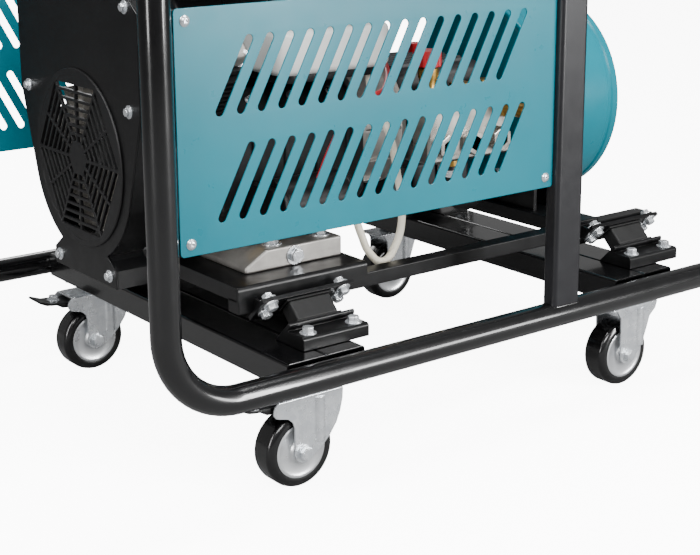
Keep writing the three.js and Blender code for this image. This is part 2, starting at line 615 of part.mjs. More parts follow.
// The shield-shaped outline of the blower housing, drawn inset by its wall for the inside.
function shieldOutline(inset) {
  const shape = new THREE.Shape();
  const arcR = HOUSING_ARC_R - inset;
  const [arcStart, arcEnd] = [-62 * DEG, -20 * DEG];
  const bottom = CRANK_Z - 160 + inset;
  const half = HOUSING_HALF_WIDTH - inset;
  const neck = 86 - inset;
  shape.moveTo(-neck, bottom);
  shape.lineTo(neck, bottom);
  shape.lineTo(neck, bottom + 24 - inset);
  shape.absarc(0, CRANK_Z, arcR, arcStart, arcEnd);
  shape.lineTo(half, CRANK_Z + 77);
  shape.lineTo(half, CRANK_Z + 202);
  shape.lineTo(half - 55, CRANK_Z + 247 - inset);
  shape.lineTo(-half + 55, CRANK_Z + 247 - inset);
  shape.lineTo(-half, CRANK_Z + 202);
  shape.lineTo(-half, CRANK_Z + 77);
  shape.absarc(0, CRANK_Z, arcR, Math.PI - arcEnd, Math.PI - arcStart);
  shape.lineTo(-neck, bottom + 24 - inset);
  return shape;
}

function blowerHousing() {
  const rear = HOUSING_FRONT_X + HOUSING_DEPTH;
  const outer = prism('x', shieldOutline(0), HOUSING_FRONT_X, rear);
  const hollow = prism('x', shieldOutline(HOUSING_WALL), HOUSING_FRONT_X + HOUSING_WALL, rear + 1);
  const opening = rod('x', GUARD_OPENING_R, HOUSING_FRONT_X - 1, HOUSING_FRONT_X + 10, 0, CRANK_Z, 40);
  return cut(outer, hollow, opening);
}

// Guard over the fan: six sectors of straight slots with a rib between the sectors.
function fanGuard() {
  const [front, rear] = [HOUSING_FRONT_X - 3, HOUSING_FRONT_X - 3 + GUARD_THICKNESS];
  const at = (angle, apothem, along) => [
    apothem * Math.cos(angle) - along * Math.sin(angle),
    CRANK_Z + apothem * Math.sin(angle) + along * Math.cos(angle),
  ];
  const slots = [];
  for (let sector = 0; sector < 6; sector += 1) {
    const angle = (30 + 60 * sector) * DEG;
    for (let row = 0; row < GUARD_SLOT_ROWS; row += 1) {
      const inner = GUARD_FIRST_APOTHEM + row * GUARD_SLOT_PITCH;
      const outer = inner + GUARD_SLOT_WIDTH;
      const reach = (apothem) => apothem * Math.tan(30 * DEG) - GUARD_RIB / 2;
      slots.push(prism('x', polygon([
        at(angle, inner, -reach(inner)), at(angle, inner, reach(inner)),
        at(angle, outer, reach(outer)), at(angle, outer, -reach(outer)),
      ]), front - 1, rear + 1));
    }
  }
  return cut(rod('x', GUARD_OPENING_R - GAP, front, rear, 0, CRANK_Z, 40), ...slots);
}

const FAN_FRONT_X = HOUSING_FRONT_X + HOUSING_WALL + 6;
const FAN_DISC_X = FAN_FRONT_X + 18;

function flywheelFan() {
  const bore = CRANKSHAFT_R + GAP;
  const disc = turned('x', [[bore, -12], [34, -12], [34, 0], [FAN_R, 0], [FAN_R, 5], [bore, 5]], [FAN_DISC_X, 0, CRANK_Z]);
  const blades = Array.from({ length: FAN_BLADES }, (_, i) => {
    const blade = new THREE.BoxGeometry(18.5, 4, FAN_R - 48);
    blade.translate(FAN_FRONT_X + 9.25, 0, 46 + (FAN_R - 48) / 2);
    return solid(blade.rotateX((2 * Math.PI * i) / FAN_BLADES).translate(0, 0, CRANK_Z));
  });
  return join(disc, ...blades);
}

const COUPLING_SPLIT_X = CRANKCASE_REAR_X + BELL_LENGTH / 2;

function crankshaft() {
  const shaft = rod('x', CRANKSHAFT_R, FAN_FRONT_X + 1, COUPLING_SPLIT_X - 1, 0, CRANK_Z, 24);
  return join(shaft, rod('x', COUPLING_R, COUPLING_SPLIT_X - 24, COUPLING_SPLIT_X - 1, 0, CRANK_Z, 24));
}

function airCleaner() {
  const xs = [-232, -42];
  const cover = prism('z', roundedRectangle(...xs, -150, 60, 22), CRANKCASE_TOP_Z + 26, CRANKCASE_TOP_Z + 88, 2);
  const base = prism('z', roundedRectangle(xs[0] + 10, xs[1] - 20, -140, 50, 18), CRANKCASE_TOP_Z + 16, CRANKCASE_TOP_Z + 30, 2);
  const stem = block([-190, -110], [-34, 34], [CRANKCASE_TOP_Z + GAP, CRANKCASE_TOP_Z + 20]);
  return join(cover, base, stem);
}

function silencer() {
  const body = prism('x', roundedRectangle(122, 292, CRANK_Z + 76, CRANK_Z + 186, 30), -225, -62, 3);
  const pipe = rod('x', 17, -70, -8, 240, CRANK_Z + 147, 16);
  const inlet = block([-240, -215], [150, 190], [CRANK_Z + 102, CRANK_Z + 142]);
  return join(body, pipe, inlet);
}

function starterMotor() {
  const y = -CRANKCASE_HALF_WIDTH - 42;
  const motor = rod('x', 34, -252, -132, y, CRANK_Z - 66, 24);
  const flange = block([-266, -250], [y - 28, -CRANKCASE_HALF_WIDTH - GAP], [CRANK_Z - 92, CRANK_Z - 40]);
  return join(motor, rod('x', 15, -132, -127, y, CRANK_Z - 66, 16), flange);
}

const BREATHER_ROUTE = [
  [-70, -128, CRANKCASE_TOP_Z + 16 - GAP], [-70, -128, CRANKCASE_TOP_Z + 4], [-68, -136, BASE_Z + 288],
  [-60, -158, BASE_Z + 246], [-52, -167, BASE_Z + 188], [-44, -168, BASE_Z + 130],
  [-56, -168, BASE_Z + 86], [-78, -168, BASE_Z + 67], [-99, -167, BASE_Z + 80], [-112, -162, BASE_Z + 110], [-117, -150, BASE_Z + 144], [-118, -132, BASE_Z + 164],
  [-118, -116, BASE_Z + 168], [-118, -CRANKCASE_HALF_WIDTH - GAP, BASE_Z + 168],
];

// ---------------------------------------------------------------- pump side

const BELL_FRONT_X = CRANKCASE_REAR_X + GAP;
const PUMP_FRONT_X = BELL_FRONT_X + BELL_LENGTH + GAP;
const PUMP_REAR_X = PUMP_FRONT_X + PUMP_LENGTH;

function bellHousing() {
  const [r, wall, length] = [BELL_R, BELL_WALL, BELL_LENGTH];
  const profile = [
    [BELL_BORE_R, 0], [r, 0], [r, 8], [r - 6, 12], [r - 6, length - 12], [r, length - 8], [r, length],
    [BELL_BORE_R, length], [BELL_BORE_R, length - wall], [r - 14, length - wall], [r - 14, wall], [BELL_BORE_R, wall],
  ];
  return turned('x', profile, [BELL_FRONT_X, 0, CRANK_Z], 20);
}

function pumpShaft() {
  const hub = rod('x', COUPLING_R, COUPLING_SPLIT_X + 1, COUPLING_SPLIT_X + 24, 0, CRANK_Z, 24);
  return join(hub, rod('x', PUMP_SHAFT_R, COUPLING_SPLIT_X + 20, PUMP_REAR_X - 20, 0, CRANK_Z, 20));
}

function pumpCrankcase() {
  const body = prism('x', roundedRectangle(...PUMP_BODY_Y, ...PUMP_BODY_Z, 16), PUMP_FRONT_X, PUMP_REAR_X, 3);
  const ribs = [0, 1, 2, 3].map((i) => block(
    [PUMP_FRONT_X + 14 + 40 * i, PUMP_FRONT_X + 24 + 40 * i], [PUMP_BODY_Y[1] - 2, PUMP_BODY_Y[1] + 10],
    [PUMP_BODY_Z[0] + 20, PUMP_BODY_Z[1] - 20],
  ));
  const sump = block([PUMP_FRONT_X + PUMP_SUMP_INSET, PUMP_REAR_X - PUMP_SUMP_INSET],
    [PUMP_BODY_Y[0] + PUMP_SUMP_INSET, PUMP_BODY_Y[1] - PUMP_SUMP_INSET], [PUMP_BODY_Z[0] - PUMP_SUMP_DEPTH, PUMP_BODY_Z[0] + 2]);
  const dipstick = rod('z', 12, PUMP_BODY_Z[1] - 2, PUMP_BODY_Z[1] + 20, PUMP_FRONT_X + 140, 50, 16);
  const bore = rod('x', PUMP_SHAFT_R + SHAFT_CLEARANCE, PUMP_FRONT_X - 1, PUMP_REAR_X - 18, 0, CRANK_Z, 20);
  return cut(join(body, ...ribs, sump, dipstick), bore);
}

const MANIFOLD_INNER_Y = PUMP_BODY_Y[0] - GAP;
const MANIFOLD_OUTER_Y = MANIFOLD_INNER_Y - MANIFOLD_DEPTH;
const MANIFOLD_X = [PUMP_FRONT_X + 8, PUMP_REAR_X - 8];
const UNLOADER = { x: MANIFOLD_X[0] + 24, y: MANIFOLD_OUTER_Y + 30 };
const SUCTION_PORT = { x: MANIFOLD_X[0] + 67, y: MANIFOLD_OUTER_Y + 30 };

// Brass pump head with its valve caps, the unloader body and the high-pressure outlet.
function pumpManifold() {
  const body = block(MANIFOLD_X, [MANIFOLD_OUTER_Y, MANIFOLD_INNER_Y], MANIFOLD_Z);
  const middle = (MANIFOLD_X[0] + MANIFOLD_X[1]) / 2;
  const caps = [-52, 0, 52].flatMap((dx) => [
    rod('y', 19, MANIFOLD_OUTER_Y - 14, MANIFOLD_OUTER_Y + 2, middle + dx, MANIFOLD_Z[0] + 26, 6),
    rod('z', 17, MANIFOLD_Z[1] - 2, MANIFOLD_Z[1] + 13, middle + dx + 22, MANIFOLD_OUTER_Y + 50, 6),
  ]);
  const unloader = rod('z', 15, MANIFOLD_Z[1] - 2, MANIFOLD_Z[1] + 44, UNLOADER.x, UNLOADER.y, 16);
  const outlet = rod('y', 11, MANIFOLD_OUTER_Y - 52, MANIFOLD_OUTER_Y + 2, MANIFOLD_X[1] - 18, MANIFOLD_Z[1] - 24, 16);
  const suction = rod('z', 14, MANIFOLD_Z[0] - 12, MANIFOLD_Z[0] + 2, SUCTION_PORT.x, SUCTION_PORT.y, 16);
  return join(body, ...caps, unloader, outlet, suction);
}

function unloaderKnob() {
  const bottom = MANIFOLD_Z[1] + 44 + GAP;
  const flutes = Array.from({ length: 6 }, (_, i) => {
    const angle = 60 * i * DEG;
    return rod('z', 5, bottom - 1, bottom + 27, UNLOADER.x + 22 * Math.cos(angle), UNLOADER.y + 22 * Math.sin(angle), 10);
  });
  return cut(rod('z', 20, bottom, bottom + 24, UNLOADER.x, UNLOADER.y, 24), ...flutes);
}

const DRUM_NECK_X = (DRUM_FRONT_X + DRUM_REAR_X) / 2;
const DRUM_NECK_TOP_Z = DRUM_CENTRE_Z + DRUM_R + 16;

function drumProfile(radius, from, to, edge) {
  const profile = [[0, from]];
  for (const [centre, start] of [[from + edge, -90], [to - edge, 0]]) {
    for (let step = 0; step <= 2; step += 1) {
      const angle = (start + 45 * step) * DEG;
      profile.push([radius - edge + edge * Math.cos(angle), centre + edge * Math.sin(angle)]);
    }
  }
  profile.push([0, to]);
  return profile;
}

function bufferDrum() {
  const at = [0, 0, DRUM_CENTRE_Z];
  const outer = turned('x', drumProfile(DRUM_R, DRUM_FRONT_X, DRUM_REAR_X, DRUM_EDGE_R), at, DRUM_SIDES);
  const inner = turned('x', drumProfile(
    DRUM_R - DRUM_WALL, DRUM_FRONT_X + DRUM_WALL, DRUM_REAR_X - DRUM_WALL, DRUM_EDGE_R - DRUM_WALL), at, DRUM_SIDES);
  const neckBase = DRUM_CENTRE_Z + DRUM_R - 6;
  const neck = rod('z', DRUM_NECK_R, neckBase, DRUM_NECK_TOP_Z, DRUM_NECK_X, 0, 20);
  const throat = rod('z', DRUM_NECK_R - 4, neckBase - 20, DRUM_NECK_TOP_Z + 1, DRUM_NECK_X, 0, 20);
  const inlet = rod('x', 16, DRUM_REAR_X - 1, DRUM_REAR_X + 34, -70, DRUM_CENTRE_Z + 70, 16);
  return cut(join(outer, neck, inlet), inner, throat);
}

function screwCap(x, y, bottom, radius, height) {
  const grips = Array.from({ length: 6 }, (_, i) => {
    const [dx, dy] = [(radius + 1) * Math.cos(60 * i * DEG), (radius + 1) * Math.sin(60 * i * DEG)];
    return rod('z', 5, bottom - 1, bottom + height - 5, x + dx, y + dy, 6);
  });
  const cap = turned('z', [[0, 0], [radius, 0], [radius, height - 4], [radius - 4, height], [0, height]], [x, y, bottom], 24);
  return cut(cap, ...grips);
}

const SUCTION_ROUTE = [
  [SUCTION_PORT.x, SUCTION_PORT.y, MANIFOLD_Z[0] - 12 - GAP], [SUCTION_PORT.x, SUCTION_PORT.y, BASE_Z + 150],
  [SUCTION_PORT.x + 5, SUCTION_PORT.y + 1, BASE_Z + 132], [SUCTION_PORT.x + 18, SUCTION_PORT.y + 5, BASE_Z + 115],
  [SUCTION_PORT.x + 40, SUCTION_PORT.y + 12, BASE_Z + 106], [SUCTION_PORT.x + 66, SUCTION_PORT.y + 22, BASE_Z + 106],
  [SUCTION_PORT.x + 92, SUCTION_PORT.y + 34, BASE_Z + 116], [SUCTION_PORT.x + 112, SUCTION_PORT.y + 42, BASE_Z + 125],
  [DRUM_FRONT_X - 9, SUCTION_PORT.y + 44, BASE_Z + 127], [DRUM_FRONT_X - GAP, SUCTION_PORT.y + 44, BASE_Z + 127],
];

// ---------------------------------------------------------------- tank, controls, battery

const TANK_TOP_Z = TOP_Z - CROSS_TUBE_D / 2 - GAP;
const TANK_MIDDLE_X = (TANK_X[0] + TANK_X[1]) / 2;
const TANK_NECK_TOP_Z = TANK_TOP_Z + 4;

function fuelTank() {
  const flangeBottom = TANK_TOP_Z - 7;
  const outer = prism('z', roundedRectangle(...TANK_X, -TANK_HALF_WIDTH, TANK_HALF_WIDTH, TANK_CORNER_R),
    TANK_BOTTOM_Z, TANK_TOP_Z, 2);
  const flange = prism('z', roundedRectangle(TANK_X[0] - TANK_FLANGE_REACH, TANK_X[1] + TANK_FLANGE_REACH,
    -TANK_HALF_WIDTH - 12, TANK_HALF_WIDTH + 12, TANK_CORNER_R + 4), flangeBottom, TANK_TOP_Z, 2);
  const wall = TANK_WALL;
  const inner = prism('z', roundedRectangle(TANK_X[0] + wall, TANK_X[1] - wall, -TANK_HALF_WIDTH + wall,
    TANK_HALF_WIDTH - wall, TANK_CORNER_R - wall), TANK_BOTTOM_Z + wall, TANK_TOP_Z - wall, 2);
  const neck = rod('z', TANK_NECK_R, TANK_TOP_Z - 4, TANK_NECK_TOP_Z, TANK_MIDDLE_X, 0, 20);
  const throat = rod('z', TANK_NECK_R - 4, TANK_TOP_Z - 10, TANK_NECK_TOP_Z + 1, TANK_MIDDLE_X, 0, 20);
  return cut(join(outer, flange, neck), inner, throat);
}

const CONTROL_FACE_Y = -LOOP_HALF_WIDTH + POST_DEPTH / 2 + GAP;
const CONTROL_BACK_Y = CONTROL_FACE_Y + CONTROL_DEPTH;
const GAUGE = { x: CONTROL_X[0] + 46, z: CONTROL_Z[1] - 44, r: 31 };
const KEY = { x: CONTROL_X[0] + 122, z: CONTROL_Z[1] - 48 };
const THROTTLE = { x: CONTROL_X[0] + 96, z: CONTROL_Z[0] + 36 };
const CHOKE = { x: CONTROL_X[0] + 38, z: CONTROL_Z[0] + 36 };

function controlPanel() {
  const shell = prism('y', roundedRectangle(...CONTROL_X, ...CONTROL_Z, 10), CONTROL_FACE_Y, CONTROL_BACK_Y, 3);
  const hollow = prism('y', roundedRectangle(CONTROL_X[0] + 2, CONTROL_X[1] - 2, CONTROL_Z[0] + 2, CONTROL_Z[1] - 2, 8),
    CONTROL_FACE_Y + 2, CONTROL_BACK_Y + 1, 3);
  return cut(shell, hollow, rod('y', 4.6, CONTROL_FACE_Y - 1, CONTROL_BACK_Y, CHOKE.x, CHOKE.z, 16));
}

function pressureGauge() {
  const face = CONTROL_FACE_Y - GAP;
  return turned('y', [[0, 0], [GAUGE.r, 0], [GAUGE.r, -14], [GAUGE.r - 4, -17], [GAUGE.r - 4, -14], [0, -14]],
    [GAUGE.x, face, GAUGE.z], 32);
}

function keySwitch() {
  const face = CONTROL_FACE_Y - GAP;
  const barrel = rod('y', 12, face - 10, face, KEY.x, KEY.z, 20);
  return join(barrel, block([KEY.x - 1.5, KEY.x + 1.5], [face - 28, face - 8], [KEY.z - 10, KEY.z + 10]));
}

function throttleLever() {
  const face = CONTROL_FACE_Y - GAP;
  const boss = rod('y', 11, face - 6, face, THROTTLE.x, THROTTLE.z, 20);
  const arm = block([THROTTLE.x - 4, THROTTLE.x + 4], [face - 5, face - 2], [THROTTLE.z, THROTTLE.z + 40]);
  return join(boss, arm, rod('y', 8, face - 20, face - 2, THROTTLE.x, THROTTLE.z + 40, 16));
}

function chokeKnob() {
  const face = CONTROL_FACE_Y - GAP;
  return join(rod('y', 13, face - 16, face, CHOKE.x, CHOKE.z, 20), rod('y', 4, face - 2, CONTROL_BACK_Y - 4, CHOKE.x, CHOKE.z, 12));
}

const BATTERY_Y = [196, 196 + BATTERY_SIZE[1]];
const BATTERY_X = [58 - BATTERY_SIZE[0], 58];

function batteryTray() {
  const postFace = POST_X - POST_WIDTH / 2 - GAP;
  const floor = block([BATTERY_X[0] - 4, postFace], [BATTERY_Y[0] - 4, BATTERY_Y[1] + 4], [BATTERY_FLOOR_Z - 4, BATTERY_FLOOR_Z]);
  const upright = block([postFace - 4, postFace], [BATTERY_Y[0] - 4, LOOP_HALF_WIDTH - 2], [BATTERY_FLOOR_Z - 4, BATTERY_FLOOR_Z + 60]);
  const lip = block([BATTERY_X[0] - 4, postFace], [BATTERY_Y[0] - 4, BATTERY_Y[0] - 1], [BATTERY_FLOOR_Z - 4, BATTERY_FLOOR_Z + 22]);
  return join(floor, upright, lip);
}

function battery() {
  const bottom = BATTERY_FLOOR_Z + GAP;
  const top = bottom + BATTERY_SIZE[2];
  const terminals = [BATTERY_X[0] + 22, BATTERY_X[1] - 22].map((x) => rod('z', 8, top - 1, top + 12, x, BATTERY_Y[0] + 24, 12));
  return join(block(BATTERY_X, BATTERY_Y, [bottom, top]), ...terminals);
}

// ---------------------------------------------------------------- assembly

const group = (...meshes) => new THREE.Group().add(...meshes);

const frame = group(
  piece('upper_frame', upperFrame(), BLACK_POWDER),
  piece('front_crossmember', crossmember(-1), BLACK_POWDER),
  piece('rear_crossmember', crossmember(1), BLACK_POWDER),
  ...SIDES.flatMap(({ side, s }) => [
    piece(`lower_loop_${side}`, lowerLoop(s), BLACK_POWDER),
    piece(`post_${side}`, post(s), CHARCOAL),
    piece(`side_panel_${side}`, sidePanel(s), TEAL_PAINT),
  ]),
);

const running_gear = group(...CASTERS.flatMap((caster) => [
  piece(`caster_plate_${caster.name}`, casterPlate(caster), ZINC),
  piece(`caster_fork_${caster.name}`, casterFork(caster), ZINC),
  piece(`caster_wheel_${caster.name}`, casterWheel(caster), RUBBER),
  ...(caster.braked ? [piece(`brake_pedal_${caster.name}`, brakePedal(caster), CHARCOAL)] : []),
]));

const suspension = group(
  piece('engine_cradle', cradle(), BLACK_POWDER),
  ...SIDES.flatMap(({ side, s }) => [['front', FRONT_MOUNT_X], ['rear', REAR_MOUNT_X]].flatMap(([end, x]) => [
    piece(`mount_bracket_${end}_${side}`, lowerBracket(x, s), BLACK_POWDER),
    piece(`mount_rubber_${end}_${side}`, rubberMount(x, s), RUBBER),
  ])),
);

const engine = group(
  piece('engine_crankcase', crankcase(), CAST_ALUMINIUM),
  piece('cylinder_near', cylinder(NEAR_CYLINDER_X, -1), DARK_CASTING),
  piece('cylinder_far', cylinder(FAR_CYLINDER_X, 1), DARK_CASTING),
  piece('blower_housing', blowerHousing(), BLACK_POWDER),
  piece('fan_guard', fanGuard(), BLACK_PLASTIC),
  piece('flywheel_fan', flywheelFan(), CAST_ALUMINIUM),
  piece('crankshaft', crankshaft(), STEEL),
  piece('air_cleaner', airCleaner(), PALE_COVER),
  piece('silencer', silencer(), CHARCOAL),
  piece('starter_motor', starterMotor(), BLACK_POWDER),
  piece('breather_hose', hose(BREATHER_ROUTE, 11, 22), CREAM_HOSE),
);

const pump = group(
  piece('bell_housing', bellHousing(), CAST_ALUMINIUM),
  piece('pump_shaft', pumpShaft(), STEEL),
  piece('pump_crankcase', pumpCrankcase(), DARK_CASTING),
  piece('pump_manifold', pumpManifold(), BRASS),
  piece('unloader_knob', unloaderKnob(), RED_PLASTIC),
  piece('buffer_drum', bufferDrum(), TEAL_PAINT),
  piece('drum_cap', screwCap(DRUM_NECK_X, 0, DRUM_NECK_TOP_Z + GAP, 32, 20), BLACK_PLASTIC),
  piece('suction_hose', hose(SUCTION_ROUTE, 24, 16, 10), BLACK_PLASTIC),
);

const controls = group(
  piece('fuel_tank', fuelTank(), BLACK_POWDER),
  piece('fuel_cap', screwCap(TANK_MIDDLE_X, 0, TANK_NECK_TOP_Z + GAP, 33, 22), BLACK_PLASTIC),
  piece('control_panel', controlPanel(), CHARCOAL),
  piece('pressure_gauge', pressureGauge(), STEEL),
  piece('key_switch', keySwitch(), STEEL),
  piece('throttle_lever', throttleLever(), BLACK_PLASTIC),
  piece('choke_knob', chokeKnob(), BLACK_PLASTIC),
  piece('battery_tray', batteryTray(), BLACK_POWDER),
  piece('battery', battery(), BLACK_PLASTIC),
);

export default new THREE.Group().add(frame, running_gear, suspension, engine, pump, controls);
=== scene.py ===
"""Engine-driven pressure washer in an open tube frame on four swivel casters."""

import logging
import math
from dataclasses import dataclass, field
from enum import Enum

import bmesh
import bpy
from mathutils import Matrix, Vector


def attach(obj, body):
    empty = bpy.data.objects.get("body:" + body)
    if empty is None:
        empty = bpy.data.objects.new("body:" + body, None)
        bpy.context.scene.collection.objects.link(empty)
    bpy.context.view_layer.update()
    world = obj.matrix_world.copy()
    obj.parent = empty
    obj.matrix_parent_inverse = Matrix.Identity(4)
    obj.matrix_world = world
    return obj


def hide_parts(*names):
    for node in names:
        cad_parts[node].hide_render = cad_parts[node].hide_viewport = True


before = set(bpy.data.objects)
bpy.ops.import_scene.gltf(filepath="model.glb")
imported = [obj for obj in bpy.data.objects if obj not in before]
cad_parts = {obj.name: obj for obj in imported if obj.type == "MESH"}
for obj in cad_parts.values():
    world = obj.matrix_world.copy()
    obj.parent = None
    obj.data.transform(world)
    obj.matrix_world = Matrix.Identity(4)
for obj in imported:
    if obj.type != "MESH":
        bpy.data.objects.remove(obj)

LOG = logging.getLogger("pressure_washer")
MM = 0.001
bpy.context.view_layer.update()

Point = tuple[float, float, float]
Outline = list[tuple[float, float]]


# ---------------------------------------------------------------- placing


class Along(Enum):
    """Frames that stand a drawn outline up, so that it is extruded along a machine axis."""

    X = Matrix(((0, 0, 1, 0), (1, 0, 0, 0), (0, 1, 0, 0), (0, 0, 0, 1)))
    Y = Matrix(((0, 1, 0, 0), (0, 0, 1, 0), (1, 0, 0, 0), (0, 0, 0, 1)))
    Z = Matrix.Identity(4)
    NEAR = Matrix(((1, 0, 0, 0), (0, 0, -1, 0), (0, 1, 0, 0), (0, 0, 0, 1)))


def shifted(x: float, y: float, z: float) -> Matrix:
    """Return a move by x, y, z millimetres."""
    return Matrix.Translation((x, y, z))


def aimed(at: Point, direction: Point, turn: float = 0.0) -> Matrix:
    """Return a frame at a point whose Z axis looks along a direction.

    Args:
        at: the frame's origin, in millimetres.
        direction: where its Z axis points.
        turn: degrees turned about that axis.

    Returns:
        The frame as a matrix.
    """
    look = Vector(direction).to_track_quat("Z", "Y").to_matrix().to_4x4()
    return Matrix.Translation(at) @ look @ Matrix.Rotation(math.radians(turn), 4, "Z")


def arc(centre: tuple[float, float], radius: float, start: float, end: float, steps: int) -> Outline:
    """Return points of a circular arc, with angles in degrees."""
    angles = [math.radians(start + (end - start) * i / steps) for i in range(steps + 1)]
    return [(centre[0] + radius * math.cos(a), centre[1] + radius * math.sin(a)) for a in angles]


def rounded(a0: float, a1: float, b0: float, b1: float, radius: float, steps: int = 5) -> Outline:
    """Return a rounded rectangle from its limits and corner radius."""
    corners = [(a1 - radius, b1 - radius, 0), (a0 + radius, b1 - radius, 90),
               (a0 + radius, b0 + radius, 180), (a1 - radius, b0 + radius, 270)]
    return [p for a, b, turn in corners for p in arc((a, b), radius, turn, turn + 90, steps)]


# ---------------------------------------------------------------- shapes


class Shape:
    """A mesh in the making, in millimetres, that ends as one piece of the machine."""

    def __init__(self) -> None:
        """Start empty."""
        self.mesh = bmesh.new()

    def _soften(self, verts: list, width: float, segments: int, angle: float = 30.0) -> None:
        """Round the sharp edges among some vertices.

        Args:
            verts: the vertices of the form.
            width: how far the rounding reaches, in millimetres.
            segments: how many faces round it.
            angle: the edges bent by more degrees than this are rounded.
        """
        if width <= 0:
            return
        inside = set(verts)
        edges = [e for e in self.mesh.edges if e.verts[0] in inside and e.verts[1] in inside
                 and len(e.link_faces) == 2 and e.calc_face_angle(0.0) > math.radians(angle)]
        bmesh.ops.bevel(self.mesh, geom=edges, offset=width, offset_type="OFFSET", segments=segments,
                        profile=0.5, affect="EDGES", clamp_overlap=True, material=-1)

    def box(self, low: Point, high: Point, soft: float = 1.0, segments: int = 2,
            at: Matrix | None = None) -> "Shape":
        """Add a block between two corners.

        Args:
            low: its lowest corner.
            high: its highest corner.
            soft: how far its edges are rounded.
            segments: faces in each rounding.
            at: a frame to put it in.

        Returns:
            This shape.
        """
        low_v, high_v = Vector(low), Vector(high)
        size = Matrix.Diagonal((high_v - low_v).to_4d())
        size[3][3] = 1.0
        made = bmesh.ops.create_cube(self.mesh, size=1.0,
                                     matrix=Matrix.Translation((low_v + high_v) / 2) @ size)
        if at is not None:
            bmesh.ops.transform(self.mesh, matrix=at, verts=made["verts"])
        self._soften(made["verts"], soft, segments)
        return self

    def rod(self, radius: float, length: float, at: Matrix, sides: int = 32, soft: float = 0.6,
            tip: float | None = None, turn: float = 0.0) -> "Shape":
        """Add a round or many-sided bar along a frame's Z axis.

        Args:
            radius: its radius at the frame's origin.
            length: its length.
            at: the frame it starts from.
            sides: how many sides it has.
            soft: how far its ends are rounded.
            tip: its radius at the far end, if it tapers.
            turn: degrees turned about its axis.

        Returns:
            This shape.
        """
        place = at @ Matrix.Rotation(math.radians(turn), 4, "Z") @ Matrix.Translation((0, 0, length / 2))
        made = bmesh.ops.create_cone(self.mesh, cap_ends=True, segments=sides, radius1=radius,
                                     radius2=radius if tip is None else tip, depth=length, matrix=place)
        self._soften(made["verts"], soft, 2, 50.0)
        return self

    def lathe(self, profile: Outline, at: Matrix, steps: int = 48) -> "Shape":
        """Add a turned form.

        Args:
            profile: points of (radius, height) about the frame's Z axis; it is closed by itself.
            at: the frame it stands in.
            steps: how many facets go round.

        Returns:
            This shape.
        """
        verts = [self.mesh.verts.new((r, 0.0, z)) for r, z in profile]
        edges = [self.mesh.edges.new((a, b)) for a, b in zip(verts, verts[1:])]
        closes = profile[0][0] > 1e-6 or profile[-1][0] > 1e-6
        if closes:
            edges.append(self.mesh.edges.new((verts[-1], verts[0])))
        before = set(self.mesh.verts) - set(verts)
        bmesh.ops.spin(self.mesh, geom=verts + edges, cent=(0, 0, 0), axis=(0, 0, 1), angle=2 * math.pi,
                       steps=steps, use_merge=True)
        made = [v for v in self.mesh.verts if v not in before]
        bmesh.ops.remove_doubles(self.mesh, verts=made, dist=1e-4)
        made = [v for v in self.mesh.verts if v not in before]
        bmesh.ops.transform(self.mesh, matrix=at, verts=made)
        self._outward(made)
        return self

    def prism(self, outline: Outline, length: float, at: Matrix, soft: float = 0.8, segments: int = 2,
              angle: float = 30.0) -> "Shape":
        """Add an outline extruded along a frame's Z axis.

        Args:
            outline: its points in the frame's X and Y.
            length: how far it is extruded.
            at: the frame it is drawn in.
            soft: how far its edges are rounded.
            segments: faces in each rounding.
            angle: the edges bent by more degrees than this are rounded.

        Returns:
            This shape.
        """
        base = [self.mesh.verts.new((a, b, 0.0)) for a, b in outline]
        face = self.mesh.faces.new(base)
        grown = bmesh.ops.extrude_face_region(self.mesh, geom=[face], use_keep_orig=True)["geom"]
        top = [v for v in grown if isinstance(v, bmesh.types.BMVert)]
        bmesh.ops.translate(self.mesh, vec=(0, 0, length), verts=top)
        bmesh.ops.transform(self.mesh, matrix=at, verts=base + top)
        self._outward(base + top)
        self._soften(base + top, soft, segments, angle)
        return self

    def tube(self, corners: list[Point], radius: float, bend: float, sides: int = 32,
             steps: int = 12) -> "Shape":
        """Add a round bar that runs straight between corners and bends round them.

        Args:
            corners: the points where its centreline's straights would meet.
            radius: its own radius.
            bend: the centreline's radius at each corner.
            sides: how many sides it has.
            steps: how many steps each bend takes.

        Returns:
            This shape.
        """
        points = [Vector(p) for p in corners]
        heading = (points[1] - points[0]).normalized()
        ring = bmesh.ops.create_circle(self.mesh, segments=sides, radius=radius,
                                       matrix=aimed(tuple(points[0]), tuple(heading)))["verts"]
        edges = list({e for v in ring for e in v.link_edges})
        first, everything, reached = list(edges), list(ring), points[0]
        for index in range(1, len(points)):
            last = index == len(points) - 1
            after = heading if last else (points[index + 1] - points[index]).normalized()
            turn = heading.angle(after) if not last else 0.0
            stop = points[index] - heading * bend * math.tan(turn / 2)
            edges, verts = self._pull(edges)
            bmesh.ops.translate(self.mesh, vec=stop - reached, verts=verts)
            everything += verts
            reached = stop
            if turn > 1e-4:
                axis = heading.cross(after).normalized()
                centre = stop + axis.cross(heading) * bend
                step = Matrix.Rotation(turn / steps, 3, axis)
                for _ in range(steps):
                    edges, verts = self._pull(edges)
                    bmesh.ops.rotate(self.mesh, cent=centre, matrix=step, verts=verts)
                    everything += verts
                    reached = centre + step @ (reached - centre)
            heading = after
        for loop in (first, edges):
            bmesh.ops.edgeloop_fill(self.mesh, edges=loop)
        self._outward(everything)
        return self

    def _pull(self, edges: list) -> tuple[list, list]:
        """Extrude a ring of edges in place.

        Args:
            edges: the ring.

        Returns:
            The new ring's edges and its vertices.
        """
        grown = bmesh.ops.extrude_edge_only(self.mesh, edges=edges)["geom"]
        verts = [g for g in grown if isinstance(g, bmesh.types.BMVert)]
        fresh = set(verts)
        ring = [g for g in grown if isinstance(g, bmesh.types.BMEdge)
                and g.verts[0] in fresh and g.verts[1] in fresh]
        return ring, verts

